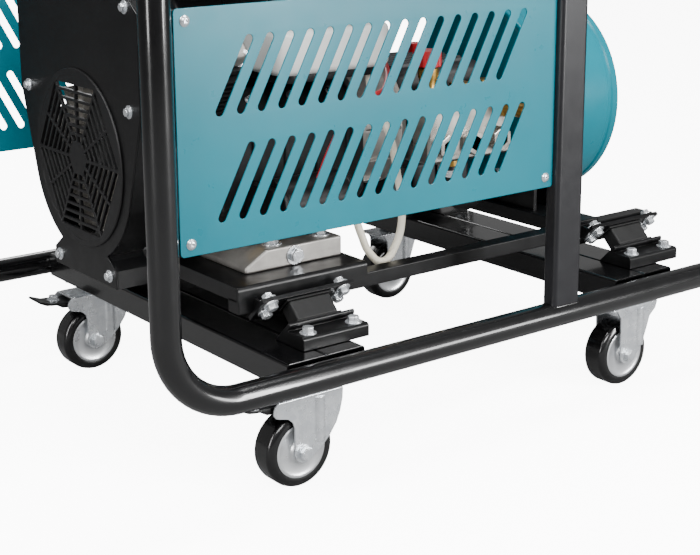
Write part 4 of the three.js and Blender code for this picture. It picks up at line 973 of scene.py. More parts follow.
@dataclass
class Caster:
    """A swivel caster: plate, fork, wheel and, at the front, a brake pedal."""

    name: str
    x: float
    y: float
    braked: bool
    wheel: float = 50.0
    trail: float = 22.0
    plate_top: float = 143.7
    crown: float = 124.4
    fork_inner: float = 23.0
    sheet: float = 3.0

    @property
    def axle_x(self) -> float:
        """Return where the axle is along the machine."""
        return self.x - self.trail

    def build(self) -> None:
        """Make the caster's pieces, each on the body that carries it."""
        self._plate()
        self._fork()
        self._wheel()
        if self.braked:
            self._pedal()

    def _plate(self) -> None:
        """Press the top plate, its bearing race and its bolts."""
        shape = Shape()
        holes = [[(self.x + dx * 33 + 4.2 * math.cos(a), self.y + dy * 28 + 4.2 * math.sin(a))
                  for a in [math.radians(30 * i) for i in range(12)]] for dx in (-1, 1) for dy in (-1, 1)]
        shape.sheet(rounded(self.x - 45, self.x + 45, self.y - 40, self.y + 40, 7.0), holes, 4.6,
                    shifted(0, 0, self.plate_top - 4.9), 0.5)
        race = [(0, -18.6), (26, -18.6), (29.6, -16.5), (30, -13), (27.5, -10), (27, -7), (30, -5.5),
                (30, -4.8), (0, -4.8)]
        shape.lathe(race, shifted(self.x, self.y, self.plate_top), 40)
        shape.piece(f"caster_top_{self.name}", "frame", ZINC, (f"caster_plate_{self.name}",))
        bolts = Shape()
        for dx in (-1, 1):
            for dy in (-1, 1):
                bolts.bolt((self.x + dx * 36, self.y + dy * 33, self.plate_top - 4.9), (0, 0, -1), 10, 5,
                           7.5, 15 * dx)
        bolts.piece(f"caster_bolts_{self.name}", "frame", ZINC)

    def _leg(self) -> Outline:
        """Return a fork leg's edge, broad at the crown and tapering to the axle."""
        ax, crown = self.axle_x, self.crown
        if not self.braked:
            plain = [(ax - 24, crown - 0.6), (ax - 24, crown - 6), (ax - 17, crown - 16),
                     (ax - 15.5, self.wheel + 8)]
            edge = [(ax + 18, self.wheel - 5), (ax + 26, self.wheel + 4), (ax + 34, self.wheel + 18),
                    (ax + 40, self.wheel + 34), (ax + 46, self.wheel + 52), (ax + 58, crown - 12),
                    (ax + 62, crown - 0.6)]
            return plain + arc((ax, self.wheel), 15.0, 180, 310, 12) + edge
        lug = [(ax - 38, crown - 0.6), (ax - 43, crown - 5), (ax - 45.5, crown - 10), (ax - 45, crown - 16),
               (ax - 42, crown - 20), (ax - 36, crown - 22), (ax - 24, crown - 25), (ax - 17, crown - 31),
               (ax - 14, crown - 40), (ax - 13.6, self.wheel + 8)]
        tail = [(ax + 18, self.wheel - 6), (ax + 29, self.wheel + 2), (ax + 41, self.wheel + 14),
                (ax + 51, self.wheel + 28), (ax + 57, self.wheel + 42), (ax + 61, crown - 16),
                (ax + 62, crown - 0.6)]
        return lug + arc((ax, self.wheel), 14.0, 180, 310, 12) + tail

    def _fork(self) -> None:
        """Press the fork, with its crown dish, flanged legs and riveted axle."""
        body = f"fork_{self.name}"
        shape = Shape()
        for side in (-1, 1):
            inner = self.y + side * self.fork_inner
            start = max(inner, inner + side * self.sheet)
            shape.prism(self._leg(), self.sheet, shifted(0, start, 0) @ Along.NEAR.value, 0.9, 2)
            face = self.fork_inner + self.sheet
            bead = [(25 + 9.5 * math.sin(math.radians(a)), face - 3.5 + 7.0 * math.cos(math.radians(a)))
                    for a in range(-90, 91, 15)]
            shape.prism([(self.axle_x + b, self.y + side * a) for b, a in bead],
                        self.crown - self.wheel - 15.0, shifted(0, 0, self.wheel + 10), 0.6, 2, 50.0)
        shape.prism(rounded(self.axle_x - 37, self.axle_x + 62, self.y - self.fork_inner - self.sheet + 0.4,
                            self.y + self.fork_inner + self.sheet - 0.4, 7.0), 3.6,
                    shifted(0, 0, self.crown - 3.8), 1.1, 3)
        dish = [(0, -9), (15, -9), (20, -5), (24, -3.2), (24, -2.6), (0, -2.6)]
        shape.lathe(dish, shifted(self.x, self.y, self.crown), 36)
        shape.piece(f"caster_fork_pressing_{self.name}", body, ZINC, (f"caster_fork_{self.name}",))
        axle = Shape()
        outer = self.fork_inner + self.sheet
        axle.rod(6.0, 2 * outer + 7, aimed((self.axle_x, self.y - outer - 3.5, self.wheel), (0, 1, 0)), 24,
                 0.8)
        for side in (-1, 1):
            axle.bolt((self.axle_x, self.y + side * (outer - 0.2), self.wheel), (0, side, 0), 16, 6.5, 10.0,
                      12)
        axle.piece(f"caster_axle_{self.name}", body, ZINC)

    def _wheel(self) -> None:
        """Mould the tyre on its hub and cap both faces with a plated disc."""
        body = f"wheel_{self.name}"
        r, bore = self.wheel, 6.5
        place = aimed((self.axle_x, self.y, self.wheel), (0, 1, 0))
        tyre = [(r - 17, -17.5), (r - 11, -19), (r - 7.5, -19), (r - 6.2, -18), (r - 3.2, -17.2),
                (r - 0.8, -14.5),
                (r, -11.5), (r, 11.5), (r - 0.8, 14.5), (r - 3.2, 17.2), (r - 6.2, 18), (r - 7.5, 19),
                (r - 11, 19), (r - 17, 17.5)]
        Shape().lathe(tyre, place, 64).piece(f"tyre_{self.name}", body, TYRE,
                                             (f"caster_wheel_{self.name}",), 40.0)
        hub = Shape()
        for side in (-1, 1):
            face = [(bore, 21.3), (13, 21.3), (14.5, 20.5), (16, 17.6), (21, 16.8), (r - 20, 17.2),
                    (r - 17.5, 18.8),
                    (r - 15, 19.1), (r - 13.2, 18.4), (r - 13.2, 15.5), (bore, 15.5)]
            hub.lathe([(a, side * b) for a, b in face], place, 56)
        hub.lathe([(bore, -16), (20, -16), (20, 16), (bore, 16)], place, 32)
        hub.piece(f"hub_discs_{self.name}", body, HUB)

    def _pedal(self) -> None:
        """Press the brake pedal, with its turned-up lip and rivet."""
        px, pz = self.x - 34, 111.4
        line = [(px + 6, pz + 2.5), (px - 2, pz + 4.5), (px - 58, pz + 8.5), (px - 70, pz + 13),
                (px - 76, pz + 15),
                (px - 77.5, pz + 12), (px - 66, pz + 6.5), (px - 57, pz + 5), (px - 4, pz + 0.5),
                (px + 6, pz - 2)]
        shape = Shape().prism(line, 40.0, shifted(0, self.y + 20, 0) @ Along.NEAR.value, 0.8)
        for side in (-1, 1):
            flange = [(px + 5, pz + 2), (px - 54, pz + 7), (px - 40, pz - 1), (px - 8, pz - 4),
                      (px + 5, pz - 3)]
            start = self.y + side * 20.6
            shape.prism(flange, 2.0, shifted(0, max(start, start - side * 2), 0) @ Along.NEAR.value, 0.5)
        shape.piece(f"brake_pedal_pressing_{self.name}", f"pedal_{self.name}", SHEET_BLACK,
                    (f"brake_pedal_{self.name}",))
        Shape().bolt((px - 46, self.y, pz + 7.4), (0.07, 0, 1), 13, 6, 10).piece(
            f"brake_adjuster_{self.name}", f"pedal_{self.name}", ZINC)


# ---------------------------------------------------------------- sprung cradle


@dataclass
class Cradle:
    """The welded engine cradle on four rubber blocks set in a V."""

    rail_outer: float = 212.0
    rail_width: float = 25.0
    rail_z: tuple[float, float] = (214.0, 234.0)
    rail_x: tuple[float, float] = (-347.0, 420.0)
    mounts: dict[str, float] = field(default_factory=lambda: {"front": -255.0, "rear": 340.0})
    bridge_x: tuple[float, float] = (-347.0, -140.0)
    bridge_top: float = 250.0
    beam_x: tuple[float, float] = (250.0, 310.0)
    beam_top: float = 240.0
    drum_radius: float = 160.6
    drum_z: float = 402.0

    def _slant(self, side: Side, u: float, v: float) -> tuple[float, float]:
        """Return a point of the leaning mount in Y and Z: u along its load, v across it."""
        root = math.sqrt(0.5)
        return side.value * (self.rail_outer + root * (u + v)), self.rail_z[0] + root * (v - u)

    def _slab(self, side: Side, u: tuple[float, float], v: tuple[float, float]) -> Outline:
        """Return a leaning rectangle in Y and Z."""
        return [self._slant(side, u[0], v[0]), self._slant(side, u[1], v[0]),
                self._slant(side, u[1], v[1]), self._slant(side, u[0], v[1])]

    def build(self) -> None:
        """Weld the cradle and set it on its rubbers."""
        self._weldment()
        for side in Side:
            for end, x in self.mounts.items():
                self._mount(side, end, x)

    def _weldment(self) -> None:
        """Make the rails, plates, bridge, beam and saddle as one welded piece."""
        shape = Shape()
        x0, x1 = self.rail_x
        z0, z1 = self.rail_z
        for side in Side:
            rail = [(x0, z0), (x1 - 35, z0), (x1, z1 - 4), (x1, z1), (x0, z1)]
            start = -self.rail_outer + self.rail_width if side is Side.NEAR else self.rail_outer
            shape.prism(rail, self.rail_width, shifted(0, start, 0) @ Along.NEAR.value, 1.6, 3)
            for x in self.mounts.values():
                shape.prism(self._slab(side, (-1, 5), (-12, 34)), 145.0,
                            shifted(x - 72.5, 0, 0) @ Along.X.value, 0.8)
                for end in (-1, 1):
                    gusset = [(side.value * 211, z1 - 1), (side.value * 211, z0 + 2),
                              self._slant(side, -0.5, 22)]
                    shape.prism(gusset, 4.0, shifted(x + end * 66 - 2, 0, 0) @ Along.X.value, 0.5)
        wide = self.rail_outer
        fold = ([(-wide, z1 - 2), (-wide + 4, z1 - 2), (-wide + 4, self.bridge_top - 7),
                 (-wide + 7, self.bridge_top - 4), (wide - 7, self.bridge_top - 4),
                 (wide - 4, self.bridge_top - 7),
                 (wide - 4, z1 - 2), (wide, z1 - 2)]
                + arc((wide - 6, self.bridge_top - 6), 6.0, 0, 90, 5)
                + arc((-wide + 6, self.bridge_top - 6), 6.0, 90, 180, 5))
        shape.prism(fold, self.bridge_x[1] - self.bridge_x[0],
                    shifted(self.bridge_x[0], 0, 0) @ Along.X.value, 0.5)
        shape.box((self.bridge_x[0], -wide + 4, z1 - 4),
                  (self.bridge_x[0] + 3, wide - 4, self.bridge_top - 3), 0.6)
        shape.box((self.bridge_x[1] - 3, -wide + 4, z1 - 4),
                  (self.bridge_x[1], wide - 4, self.bridge_top - 3), 0.6)
        shape.box((self.beam_x[0], -wide + 2, z0 + 4), (self.beam_x[1], wide - 2, self.beam_top), 2.0, 3)
        for x in (262.0, 300.0):
            seat = [(-118, self.beam_top - 4)] + [
                (y, self.drum_z - math.sqrt(self.drum_radius ** 2 - y * y)) for y in range(-118, 119, 4)
            ] + [(118, self.beam_top - 4)]
            shape.prism(seat, 6.0, shifted(x, 0, 0) @ Along.X.value, 0.5)
        shape.piece("cradle_weldment", "frame", SHEET_BLACK, ("engine_cradle",))

    def _mount(self, side: Side, end: str, x: float) -> None:
        """Set one rubber block on its folded bracket, with the bolts that hold both.

        Args:
            side: the side of the machine.
            end: front or rear.
            x: the mount's middle along the machine.
        """
        word = f"{end}_{side.word}"
        block = Shape()
        block.prism(self._slab(side, (7.5, 37.0), (3.5, 28.5)), 64.0, shifted(x - 32, 0, 0) @ Along.X.value,
                    3.0, 3)
        for u in ((5.3, 8.0), (36.5, 39.3)):
            block.prism(self._slab(side, u, (2, 30)), 70.0, shifted(x - 35, 0, 0) @ Along.X.value, 0.6)
        block.piece(f"rubber_block_{word}", "frame", BLOCK_RUBBER, (f"mount_rubber_{word}",))
        floor, seat, s = 180.3, self._slant(side, 39.6, 33), side.value
        foot = abs(seat[0]) - (seat[1] - floor)
        outline = [(s * 297, floor), (s * 297, floor + 15), (s * 294, floor + 18), (s * 262, floor + 18),
                   (s * 266, floor + 23), (s * 266, seat[1] - 2), seat, (s * foot, floor)]
        bracket = Shape().prism(outline, 104.0, shifted(x - 52, 0, 0) @ Along.X.value, 1.2, 3, 20.0)
        bracket.piece(f"mount_bracket_fold_{word}", "frame", SHEET_BLACK, (f"mount_bracket_{word}",))
        bolts = Shape()
        down, up = math.sqrt(0.5), -math.sqrt(0.5)
        for dx in (-57, 57):
            for v in (6, 25):
                y, z = self._slant(side, 5.0, v)
                bolts.bolt((x + dx, y, z), (0, s * down, up), 13, 6.5, 10.5, dx)
                y, z = self._slant(side, -1.0, v)
                bolts.bolt((x + dx, y, z), (0, s * up, down), 13, 6.5, 10.5, dx + 20)
        for dx in (-36, 36):
            bolts.bolt((x + dx, s * 284, floor + 18), (0, 0, 1), 14, 7, 11, dx)
        bolts.piece(f"mount_bolts_{word}", "frame", ZINC)


# ---------------------------------------------------------------- engine


@dataclass
class Engine:
    """A V-twin engine: crankcase, two finned cylinders, fan housing, cleaner, silencer and starter."""

    crank: float = 398.0
    case_x: tuple[float, float] = (-395.0, -60.0)
    case_half: float = 105.0
    case_z: tuple[float, float] = (290.0, 472.0)
    foot_x: tuple[float, float] = (-306.0, -149.0)
    foot_half: float = 167.0
    foot_z: tuple[float, float] = (250.3, 278.3)
    housing_x: float = -452.0
    housing_depth: float = 52.0
    opening: float = 116.0
    arc_radius: float = 136.0
    half_width: float = 165.0
    cylinders: dict[Side, float] = field(default_factory=lambda: {Side.NEAR: -346.0, Side.FAR: -306.0})

    def build(self) -> None:
        """Assemble the engine."""
        self._crankcase()
        for side, x in self.cylinders.items():
            self._cylinder(side, x)
        self._housing()
        self._guard()
        self._air_cleaner()
        self._silencer()
        self._starter()
        self._plumbing()
        for node, finish in (("flywheel_fan", CAST_ALLOY), ("crankshaft", STEEL)):
            dress(node, finish)

    def _crankcase(self) -> None:
        """Cast the crankcase with its ribs, sump flange, feet and pads; its body is near-black as painted
        shade, its foot pale cast aluminium.
        """
        w, (z0, z1), (x0, x1) = self.case_half, self.case_z, self.case_x
        shape = Shape()
        shape.prism([(-w + 25, z0), (w - 25, z0), (w, z0 + 30), (w, self.crank + 20), (w - 55, z1),
                     (-w + 55, z1),
                     (-w, self.crank + 20), (-w, z0 + 30)], x1 - x0, shifted(x0, 0, 0) @ Along.X.value, 6.0,
                     3)
        for i in range(6):
            x = x0 + 40 + i * 52
            for side in Side:
                y = side.value * w
                shape.box((x, min(y - 3, y + 4) if side is Side.FAR else y - 4, z0 + 32),
                          (x + 5, max(y, y + 4) if side is Side.FAR else y + 3, self.crank + 12), 1.5)
        foot = [(self.foot_x[0], self.foot_z[0]), (self.foot_x[1], self.foot_z[0]),
                (self.foot_x[1], self.foot_z[1]),
                (self.foot_x[0] + 34, self.foot_z[1]), (self.foot_x[0] + 14, self.foot_z[0] + 16),
                (self.foot_x[0], self.foot_z[0] + 8)]
        Shape().prism(foot, 2 * self.foot_half, shifted(0, self.foot_half, 0) @ Along.NEAR.value, 3.0,
                      3).piece(
            "engine_foot_casting", "frame", CAST_ALLOY, ("engine_crankcase",))
        shape.box((self.foot_x[0] + 16, -w + 6, self.foot_z[0] + 10), (self.foot_x[1] - 16, w - 6, z0 + 10),
                  5.0, 3)
        for side, x in self.cylinders.items():
            lean = Matrix.Translation((x, 0, self.crank)) @ Matrix.Rotation(-side.value * math.radians(45),
                                                                            4, "X")
            shape.box((-41, -41, 60), (41, 41, 118), 5.0, 3, lean)
        # Painted shade: the body takes the near-black iron finish where it sits in shade behind the panels,
        # though the foot of the same casting is pale cast aluminium.
        shape.piece("crankcase_casting", "frame", DARK_IRON_AND_PAINTED_SHADE)
        bolts = Shape()
        for side in Side:
            for x in (self.foot_x[0] + 56, self.foot_x[1] - 22):
                bolts.bolt((x, side.value * (self.foot_half - 22), self.foot_z[1]), (0, 0, 1), 17, 9, 14, x)
            for i in range(5):
                bolts.bolt((x0_at(self.case_x, i), side.value * (w - 40), z1 - 14),
                           (0, side.value * 0.62, 0.78),
                           10, 5, 7)
            bolts.bolt((self.foot_x[0] + 78, side.value * self.foot_half, self.foot_z[0] + 14),
                       (0, side.value, 0),
                       17, 8, 13, 10)
        bolts.piece("crankcase_bolts", "frame", ZINC)

    def _cylinder(self, side: Side, x: float) -> None:
        """Cast one barrel with its fins, head and rocker cover.

        Args:
            side: the side that it leans to.
            x: its axis along the machine.
        """
        lean = Matrix.Translation((x, 0, self.crank)) @ Matrix.Rotation(-side.value * math.radians(45), 4,
                                                                        "X")
        barrel = Shape()
        barrel.rod(42, 88, lean @ shifted(0, 0, 118.5), 40, 0.5)
        for i in range(9):
            at = 122.0 + 9.4 * i
            barrel.prism(rounded(-47, 47, -47, 47, 14.0, 4), 3.2, lean @ shifted(0, 0, at), 0.8, 2)
        barrel.prism(rounded(-43, 43, -40, 40, 12.0, 4), 9.0, lean @ shifted(0, 0, 205), 1.5)
        barrel.piece(f"cylinder_barrel_{side.word}", "frame", DARK_IRON_AND_PAINTED_SHADE, (f"cylinder_{side.word}",))
        cover = Shape()
        cover.prism(rounded(-40, 40, -36, 36, 14.0, 5), 24.0, lean @ shifted(0, 0, 214), 6.0, 4)
        cover.box((-14, -30, 236), (14, 30, 239.5), 1.5, 2, lean)
        cover.piece(f"rocker_cover_{side.word}", "frame", CAST_ALLOY)
        bolts = Shape()
        for dx in (-33, 33):
            for dy in (-29, 29):
                at = lean @ Vector((dx, dy, 213.6))
                bolts.bolt(tuple(at), tuple(lean.to_3x3() @ Vector((0, 0, 1))), 8, 22.0, 6.0)
        bolts.piece(f"cover_bolts_{side.word}", "frame", ZINC)

    def _shield(self, inset: float) -> Outline:
        """Return the fan housing's edge in Y and Z.

        Args:
            inset: how far it is drawn in.

        Returns:
            The housing's outline.
        """
        radius, half, neck = self.arc_radius - inset, self.half_width - inset, 86 - inset
        bottom, top = self.crank - 160 + inset, self.crank + 247 - inset
        right = ([(neck, bottom), (neck, self.crank - 136)] + arc((0, self.crank), radius, -62, -20, 10)
                 + [(half, self.crank + 77), (half, self.crank + 202), (half - 55, top)])
        return right + [(-a, b) for a, b in reversed(right)]

    def _housing(self) -> None:
        """Fold the fan housing from sheet, open at the back, with its round opening."""
        hole = arc((0, self.crank), self.opening, 0, 354, 59)
        front = Shape().sheet(self._shield(0), [hole], 3.0, shifted(self.housing_x, 0, 0) @ Along.X.value,
                              0.9)
        front.sheet(self._shield(0), [self._shield(3.0)], self.housing_depth - 3.5,
                    shifted(self.housing_x + 2.9, 0, 0) @ Along.X.value, 0.3)
        front.piece("fan_housing_sheet", "frame", SHEET_BLACK, ("blower_housing",))
        screws = Shape()
        for y, z in ((-140, 478), (140, 478), (-70, 253), (70, 253), (-138, 606), (138, 606)):
            screws.bolt((self.housing_x, y, z), (-1, 0, 0), 10, 4.5, 8.5, y)
        screws.piece("fan_housing_screws", "frame", ZINC)

    def _guard(self) -> None:
        """Mould the fan guard: six sectors of straight slots, each split by a rib."""
        at_x = self.housing_x - 3
        holes: list[Outline] = []
        for sector in range(6):
            angle = math.radians(30 + 60 * sector)
            for row in range(7):
                inner, outer = 22.0 + row * 11.2, 22.0 + row * 11.2 + 7.2
                for side in (-1, 1):
                    near, far = 2.0, [a * math.tan(math.radians(30)) - 2.4 for a in (inner, outer)]
                    corners = [(inner, near), (inner, far[0]), (outer, far[1]), (outer, near)]
                    holes.append([(a * math.cos(angle) - side * t * math.sin(angle),
                                   self.crank + a * math.sin(angle) + side * t * math.cos(angle))
                                  for a, t in corners])
        guard = Shape().sheet(arc((0, self.crank), self.opening - 0.4, 0, 354, 59), holes, 4.5,
                              shifted(at_x, 0, 0) @ Along.X.value, 0.6)
        guard.lathe([(self.opening - 7, 1.0), (self.opening - 6, -1.0), (self.opening + 1.6, -1.0),
                     (self.opening + 2.6, 0.4), (self.opening + 2.6, 1.6), (self.opening - 7, 1.6)],
                    aimed((at_x + 0.8, 0, self.crank), (1, 0, 0)), 60)
        guard.piece("fan_guard_moulding", "frame", BLACK_NYLON, ("fan_guard",))

    def _air_cleaner(self) -> None:
        """Mould the air cleaner's cover on its base, with a knob and clips."""
        top = self.case_z[1]
        cover = Shape().prism(rounded(-232, -42, -150, 60, 24.0, 7), 60.0, shifted(0, 0, top + 27), 9.0, 5)
        for y in (-110, -60, -10):
            cover.box((-214, y, top + 86), (-60, y + 20, top + 89), 1.4, 3)
        cover.piece("air_cleaner_cover", "frame", PALE_COVER, ("air_cleaner",))
        base = Shape().prism(rounded(-222, -62, -140, 50, 18.0, 5), 11.0, shifted(0, 0, top + 16), 2.0)
        base.box((-190, -34, top + 0.4), (-110, 34, top + 20), 4.0)
        base.rod(16, 7.5, shifted(-137, -45, top + 87), 24, 2.0)
        base.piece("air_cleaner_base", "frame", BLACK_NYLON)

    def _silencer(self) -> None:
        """Press the silencer from two halves with a seam, a heat shield and its pipe."""
        body = Shape().prism(rounded(122, 292, 474, 584, 30.0, 8), 163.0,
                             shifted(-225, 0, 0) @ Along.X.value, 7.0, 4)
        body.prism(rounded(119, 295, 471, 587, 32.0, 8), 3.0, shifted(-145, 0, 0) @ Along.X.value, 0.8)
        body.box((-240, 150, 500), (-215, 190, 540), 4.0)
        body.piece("silencer_body", "frame", POST_CHARCOAL, ("silencer",))
        pipe = Shape().lathe([(13.5, -10), (17, -10), (17, 58), (15.5, 60), (13.5, 58)],
                             aimed((-68, 240, 545), (1, 0, 0)), 32)
        pipe.piece("silencer_pipe", "frame", STEEL)

    def _starter(self) -> None:
        """Make the starter motor and its solenoid."""
        y = -self.case_half - 42
        motor = Shape().rod(34, 104, aimed((-244, y, 332), (1, 0, 0)), 40, 2.5)
        motor.rod(36, 8, aimed((-252, y, 332), (1, 0, 0)), 40, 1.5)
        motor.rod(30, 9, aimed((-140, y, 332), (1, 0, 0)), 40, 3.0)
        motor.box((-266, y - 28, 306), (-250, -self.case_half - 0.3, 358), 3.0)
        motor.piece("starter_body", "frame", SHEET_BLACK, ("starter_motor",))

    def _plumbing(self) -> None:
        """Run the breather hose, the battery lead and the sensor wire."""
        top = self.case_z[1]
        hose = Shape().hose([(-70, -128, top + 15.7), (-70, -128, top + 4), (-68, -136, 450),
                             (-60, -158, 408),
                             (-52, -167, 350), (-44, -168, 292), (-56, -168, 248), (-78, -168, 229),
                             (-99, -167, 242),
                             (-112, -162, 272), (-117, -150, 306), (-118, -132, 326), (-118, -116, 330),
                             (-118, -105.3, 330)], 5.5)
        hose.piece("breather_hose_run", "frame", CREAM, ("breather_hose",))
        lead = Shape().hose([(-190, -172, 364), (-182, -184, 400), (-160, -190, 440), (-120, -182, 462),
                             (-60, -150, 470), (0, -60, 500), (20, 60, 500), (10, 150, 470),
                             (-30, 196, 446)], 4.0)
        lead.piece("battery_lead", "frame", RED)
        wire = Shape().hose([(-292, -132, 282), (-270, -138, 288), (-244, -128, 290), (-216, -120, 300),
                             (-196, -108, 322)], 2.2)
        wire.piece("sensor_wire", "frame", YELLOW)


def x0_at(span: tuple[float, float], step: int) -> float:
    """Return the step-th of five even stations inside a span."""
    return span[0] + (span[1] - span[0]) * (step + 0.5) / 5


def dress(node: str, finish: Finish) -> None:
    """Give a CAD node its finish.

    Args:
        node: the node's name.
        finish: what it is dressed in.
    """
    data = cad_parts[node].data
    data.materials.clear()
    data.materials.append(finish.material())


# ---------------------------------------------------------------- pump side


@dataclass
class PumpSet:
    """The bell housing, the triplex pump with its brass head, and the water drum."""

    crank: float = 398.0
    bell_x: float = -59.7
    bell_length: float = 80.0
    bell: float = 98.0
    pump_x: tuple[float, float] = (20.6, 198.6)
    body_y: tuple[float, float] = (-60.0, 95.0)
    body_z: tuple[float, float] = (325.0, 475.0)
    head_y: tuple[float, float] = (-138.3, -60.3)
    head_z: tuple[float, float] = (345.0, 440.0)
    drum_x: tuple[float, float] = (240.0, 401.0)
    drum: float = 160.0
    drum_z: float = 402.0

    def build(self) -> None:
        """Assemble the pump side."""
        self._bell()
        self._pump()
        self._head()
        self._drum()
        self._hose()
        dress("pump_shaft", STEEL)

    def _bell(self) -> None:
        """Cast the bell housing and its ribs."""
        r, n = self.bell, self.bell_length
        shape = Shape().lathe([(40, 0), (r, 0), (r, 7), (r - 5, 10), (r - 7, 14), (r - 7, n - 14),
                               (r - 5, n - 10),
                               (r, n - 7), (r, n), (40, n), (40, n - 8), (r - 14, n - 8), (r - 14, 8),
                               (40, 8)],
                              aimed((self.bell_x, 0, self.crank), (1, 0, 0)), 56)
        for i in range(12):
            turn = Matrix.Translation((0, 0, self.crank)) @ Matrix.Rotation(math.radians(30 * i), 4, "X")
            shape.box((self.bell_x + 7, -2.5, r - 10), (self.bell_x + n - 7, 2.5, r - 1), 1.0, 2, turn)
        shape.piece("bell_housing_casting", "frame", CAST_ALLOY, ("bell_housing",))

    def _pump(self) -> None:
        """Cast the pump's crankcase with cooling ribs, side cover and oil cap."""
        (x0, x1), (y0, y1), (z0, z1) = self.pump_x, self.body_y, self.body_z
        shape = Shape().prism(rounded(y0, y1, z0, z1, 16.0, 6), x1 - x0, shifted(x0, 0, 0) @ Along.X.value,
                              4.0, 3)
        for i in range(4):
            shape.box((x0 + 14 + 40 * i, y1 - 4, z0 + 20), (x0 + 24 + 40 * i, y1 + 9.5, z1 - 20), 2.5, 3)
        for i in range(7):
            shape.box((x0 + 12, y0 + 14 + i * 18, z1 - 3), (x1 - 12, y0 + 18 + i * 18, z1 + 5), 1.5, 2)
        shape.lathe([(0, 0), (48, 0), (48, 3), (44, 6), (0, 6)], aimed((x1 - 1, 12, self.crank), (1, 0, 0)),
                    40)
        shape.box((x0 + 10, y0 + 10, z0 - 65), (x1 - 10, y1 - 10, z0 + 4), 8.0, 4)
        for i in range(6):
            shape.box((x0 + 26 + 24 * i, y0 + 6, z0 - 58), (x0 + 30 + 24 * i, y0 + 12, z0 - 4), 1.2, 2)
        shape.piece("pump_crankcase_casting", "frame", DARK_IRON_AND_PAINTED_SHADE, ("pump_crankcase",))
        cap = Shape().rod(12, 18, shifted(x0 + 140, 50, z1 + 1), 24, 2.0)
        cap.piece("pump_oil_cap", "frame", RED)
        bolts = Shape()
        for i in range(6):
            a = math.radians(60 * i)
            bolts.bolt((x1 + 4.5, 12 + 40 * math.cos(a), self.crank + 40 * math.sin(a)), (1, 0, 0), 8, 4, 6)
        bolts.piece("pump_cover_bolts", "frame", ZINC)

    def _head(self) -> None:
        """Forge the brass head with its valve caps, unloader and outlet."""
        x0, x1 = self.pump_x[0] + 8, self.pump_x[1] - 8
        (y0, y1), (z0, z1) = self.head_y, self.head_z
        middle = (x0 + x1) / 2
        forging = Shape().box((x0, y0, z0), (x1, y1, z1), 5.0, 3)
        for dx in (-52, 0, 52):
            forging.rod(19, 14, aimed((middle + dx, y0 + 0.5, z0 + 26), (0, -1, 0)), 6, 1.6)
        forging.piece("pump_head_forging", "frame", NICKEL, ("pump_manifold",))
        shape = Shape()
        for dx in (-52, 0, 52):
            shape.rod(13, 14, aimed((middle + dx, y0 + 0.5, z0 + 26), (0, -1, 0)), 6, 1.6)
            shape.rod(15, 3, aimed((middle + dx, y0 + 2, z0 + 26), (0, -1, 0)) @ shifted(0, 0, 11), 32, 0.5)
            shape.rod(17, 12, shifted(middle + dx + 22, y0 + 50, z1 - 0.5), 6, 1.6)
        shape.lathe([(0, -2), (15, -2), (15, 8), (13, 11), (13, 26), (15, 29), (15, 42), (13, 44), (0, 44)],
                    shifted(x0 + 24, y0 + 30, z1), 36)
        shape.lathe([(0, -2), (14, -2), (14, 10), (11, 12), (11, 22), (9.6, 24), (11, 26), (11, 49),
                     (9.5, 52), (0, 52)],
                    aimed((x1 - 18, y0, z1 - 24), (0, -1, 0)), 36)
        shape.rod(14, 14, shifted(x0 + 67, y0 + 30, z0 - 12), 28, 1.0)
        shape.piece("brass_valve_caps", "frame", BRASS)
        knob_at = (x0 + 24, y0 + 30)
        bottom = z1 + 44.3
        flutes = [(20 - 2.2 * (i % 2), a) for i, a in enumerate(range(0, 360, 15))]
        outline = [(knob_at[0] + r * math.cos(math.radians(a)), knob_at[1] + r * math.sin(math.radians(a)))
                   for r, a in flutes]
        Shape().prism(outline, 23.5, shifted(0, 0, bottom), 1.6, 3, 15.0).piece(
            "unloader_hand_knob", "unloader", RED, ("unloader_knob",))

    def _drum(self) -> None:
        """Roll the drum, dish its ends and weld its neck and inlet on."""
        r, (x0, x1) = self.drum, self.drum_x
        n = x1 - x0
        place = aimed((x0, 0, self.drum_z), (1, 0, 0))
        shell = ([(0, 9), (r - 30, 7), (r - 14, 4), (r - 9, 0.8), (r - 5, 0)] + arc((r - 5, 5), 5, -60, 0, 4)
                 + [(r, 14), (r - 2, 17), (r - 2, 22), (r, 25), (r, n - 25), (r - 2, n - 22), (r - 2, n - 17),
                    (r, n - 14)] + arc((r - 5, n - 5), 5, 0, 60, 4)
                 + [(r - 5, n), (r - 9, n - 0.8), (r - 14, n - 4), (r - 30, n - 7), (0, n - 9)])
        shape = Shape().lathe(shell, place, 96)
        middle = (x0 + x1) / 2
        base = self.drum_z + r
        shape.lathe([(0, -8), (40, -8), (38, -1), (31, 4), (27, 7), (27, 16), (23, 16), (23, 3), (0, 3)],
                    shifted(middle, 0, base), 40)
        shape.piece("water_drum_shell", "frame", TEAL, ("buffer_drum",), 30.0)
        inlet = Shape().lathe([(0, -8), (24, -8), (24, 0), (17, 4), (17, 12), (15, 14), (15, 17), (16, 18),
                               (16, 33),
                               (14, 34), (0, 34)], aimed((x1, -70, self.drum_z + 70), (1, 0, 0)), 36)
        inlet.piece("water_inlet_spigot", "frame", BRASS)
        screw_cap((middle, 0, base + 16.3), 32, 20, "drum_screw_cap", "water_cap", "drum_cap")

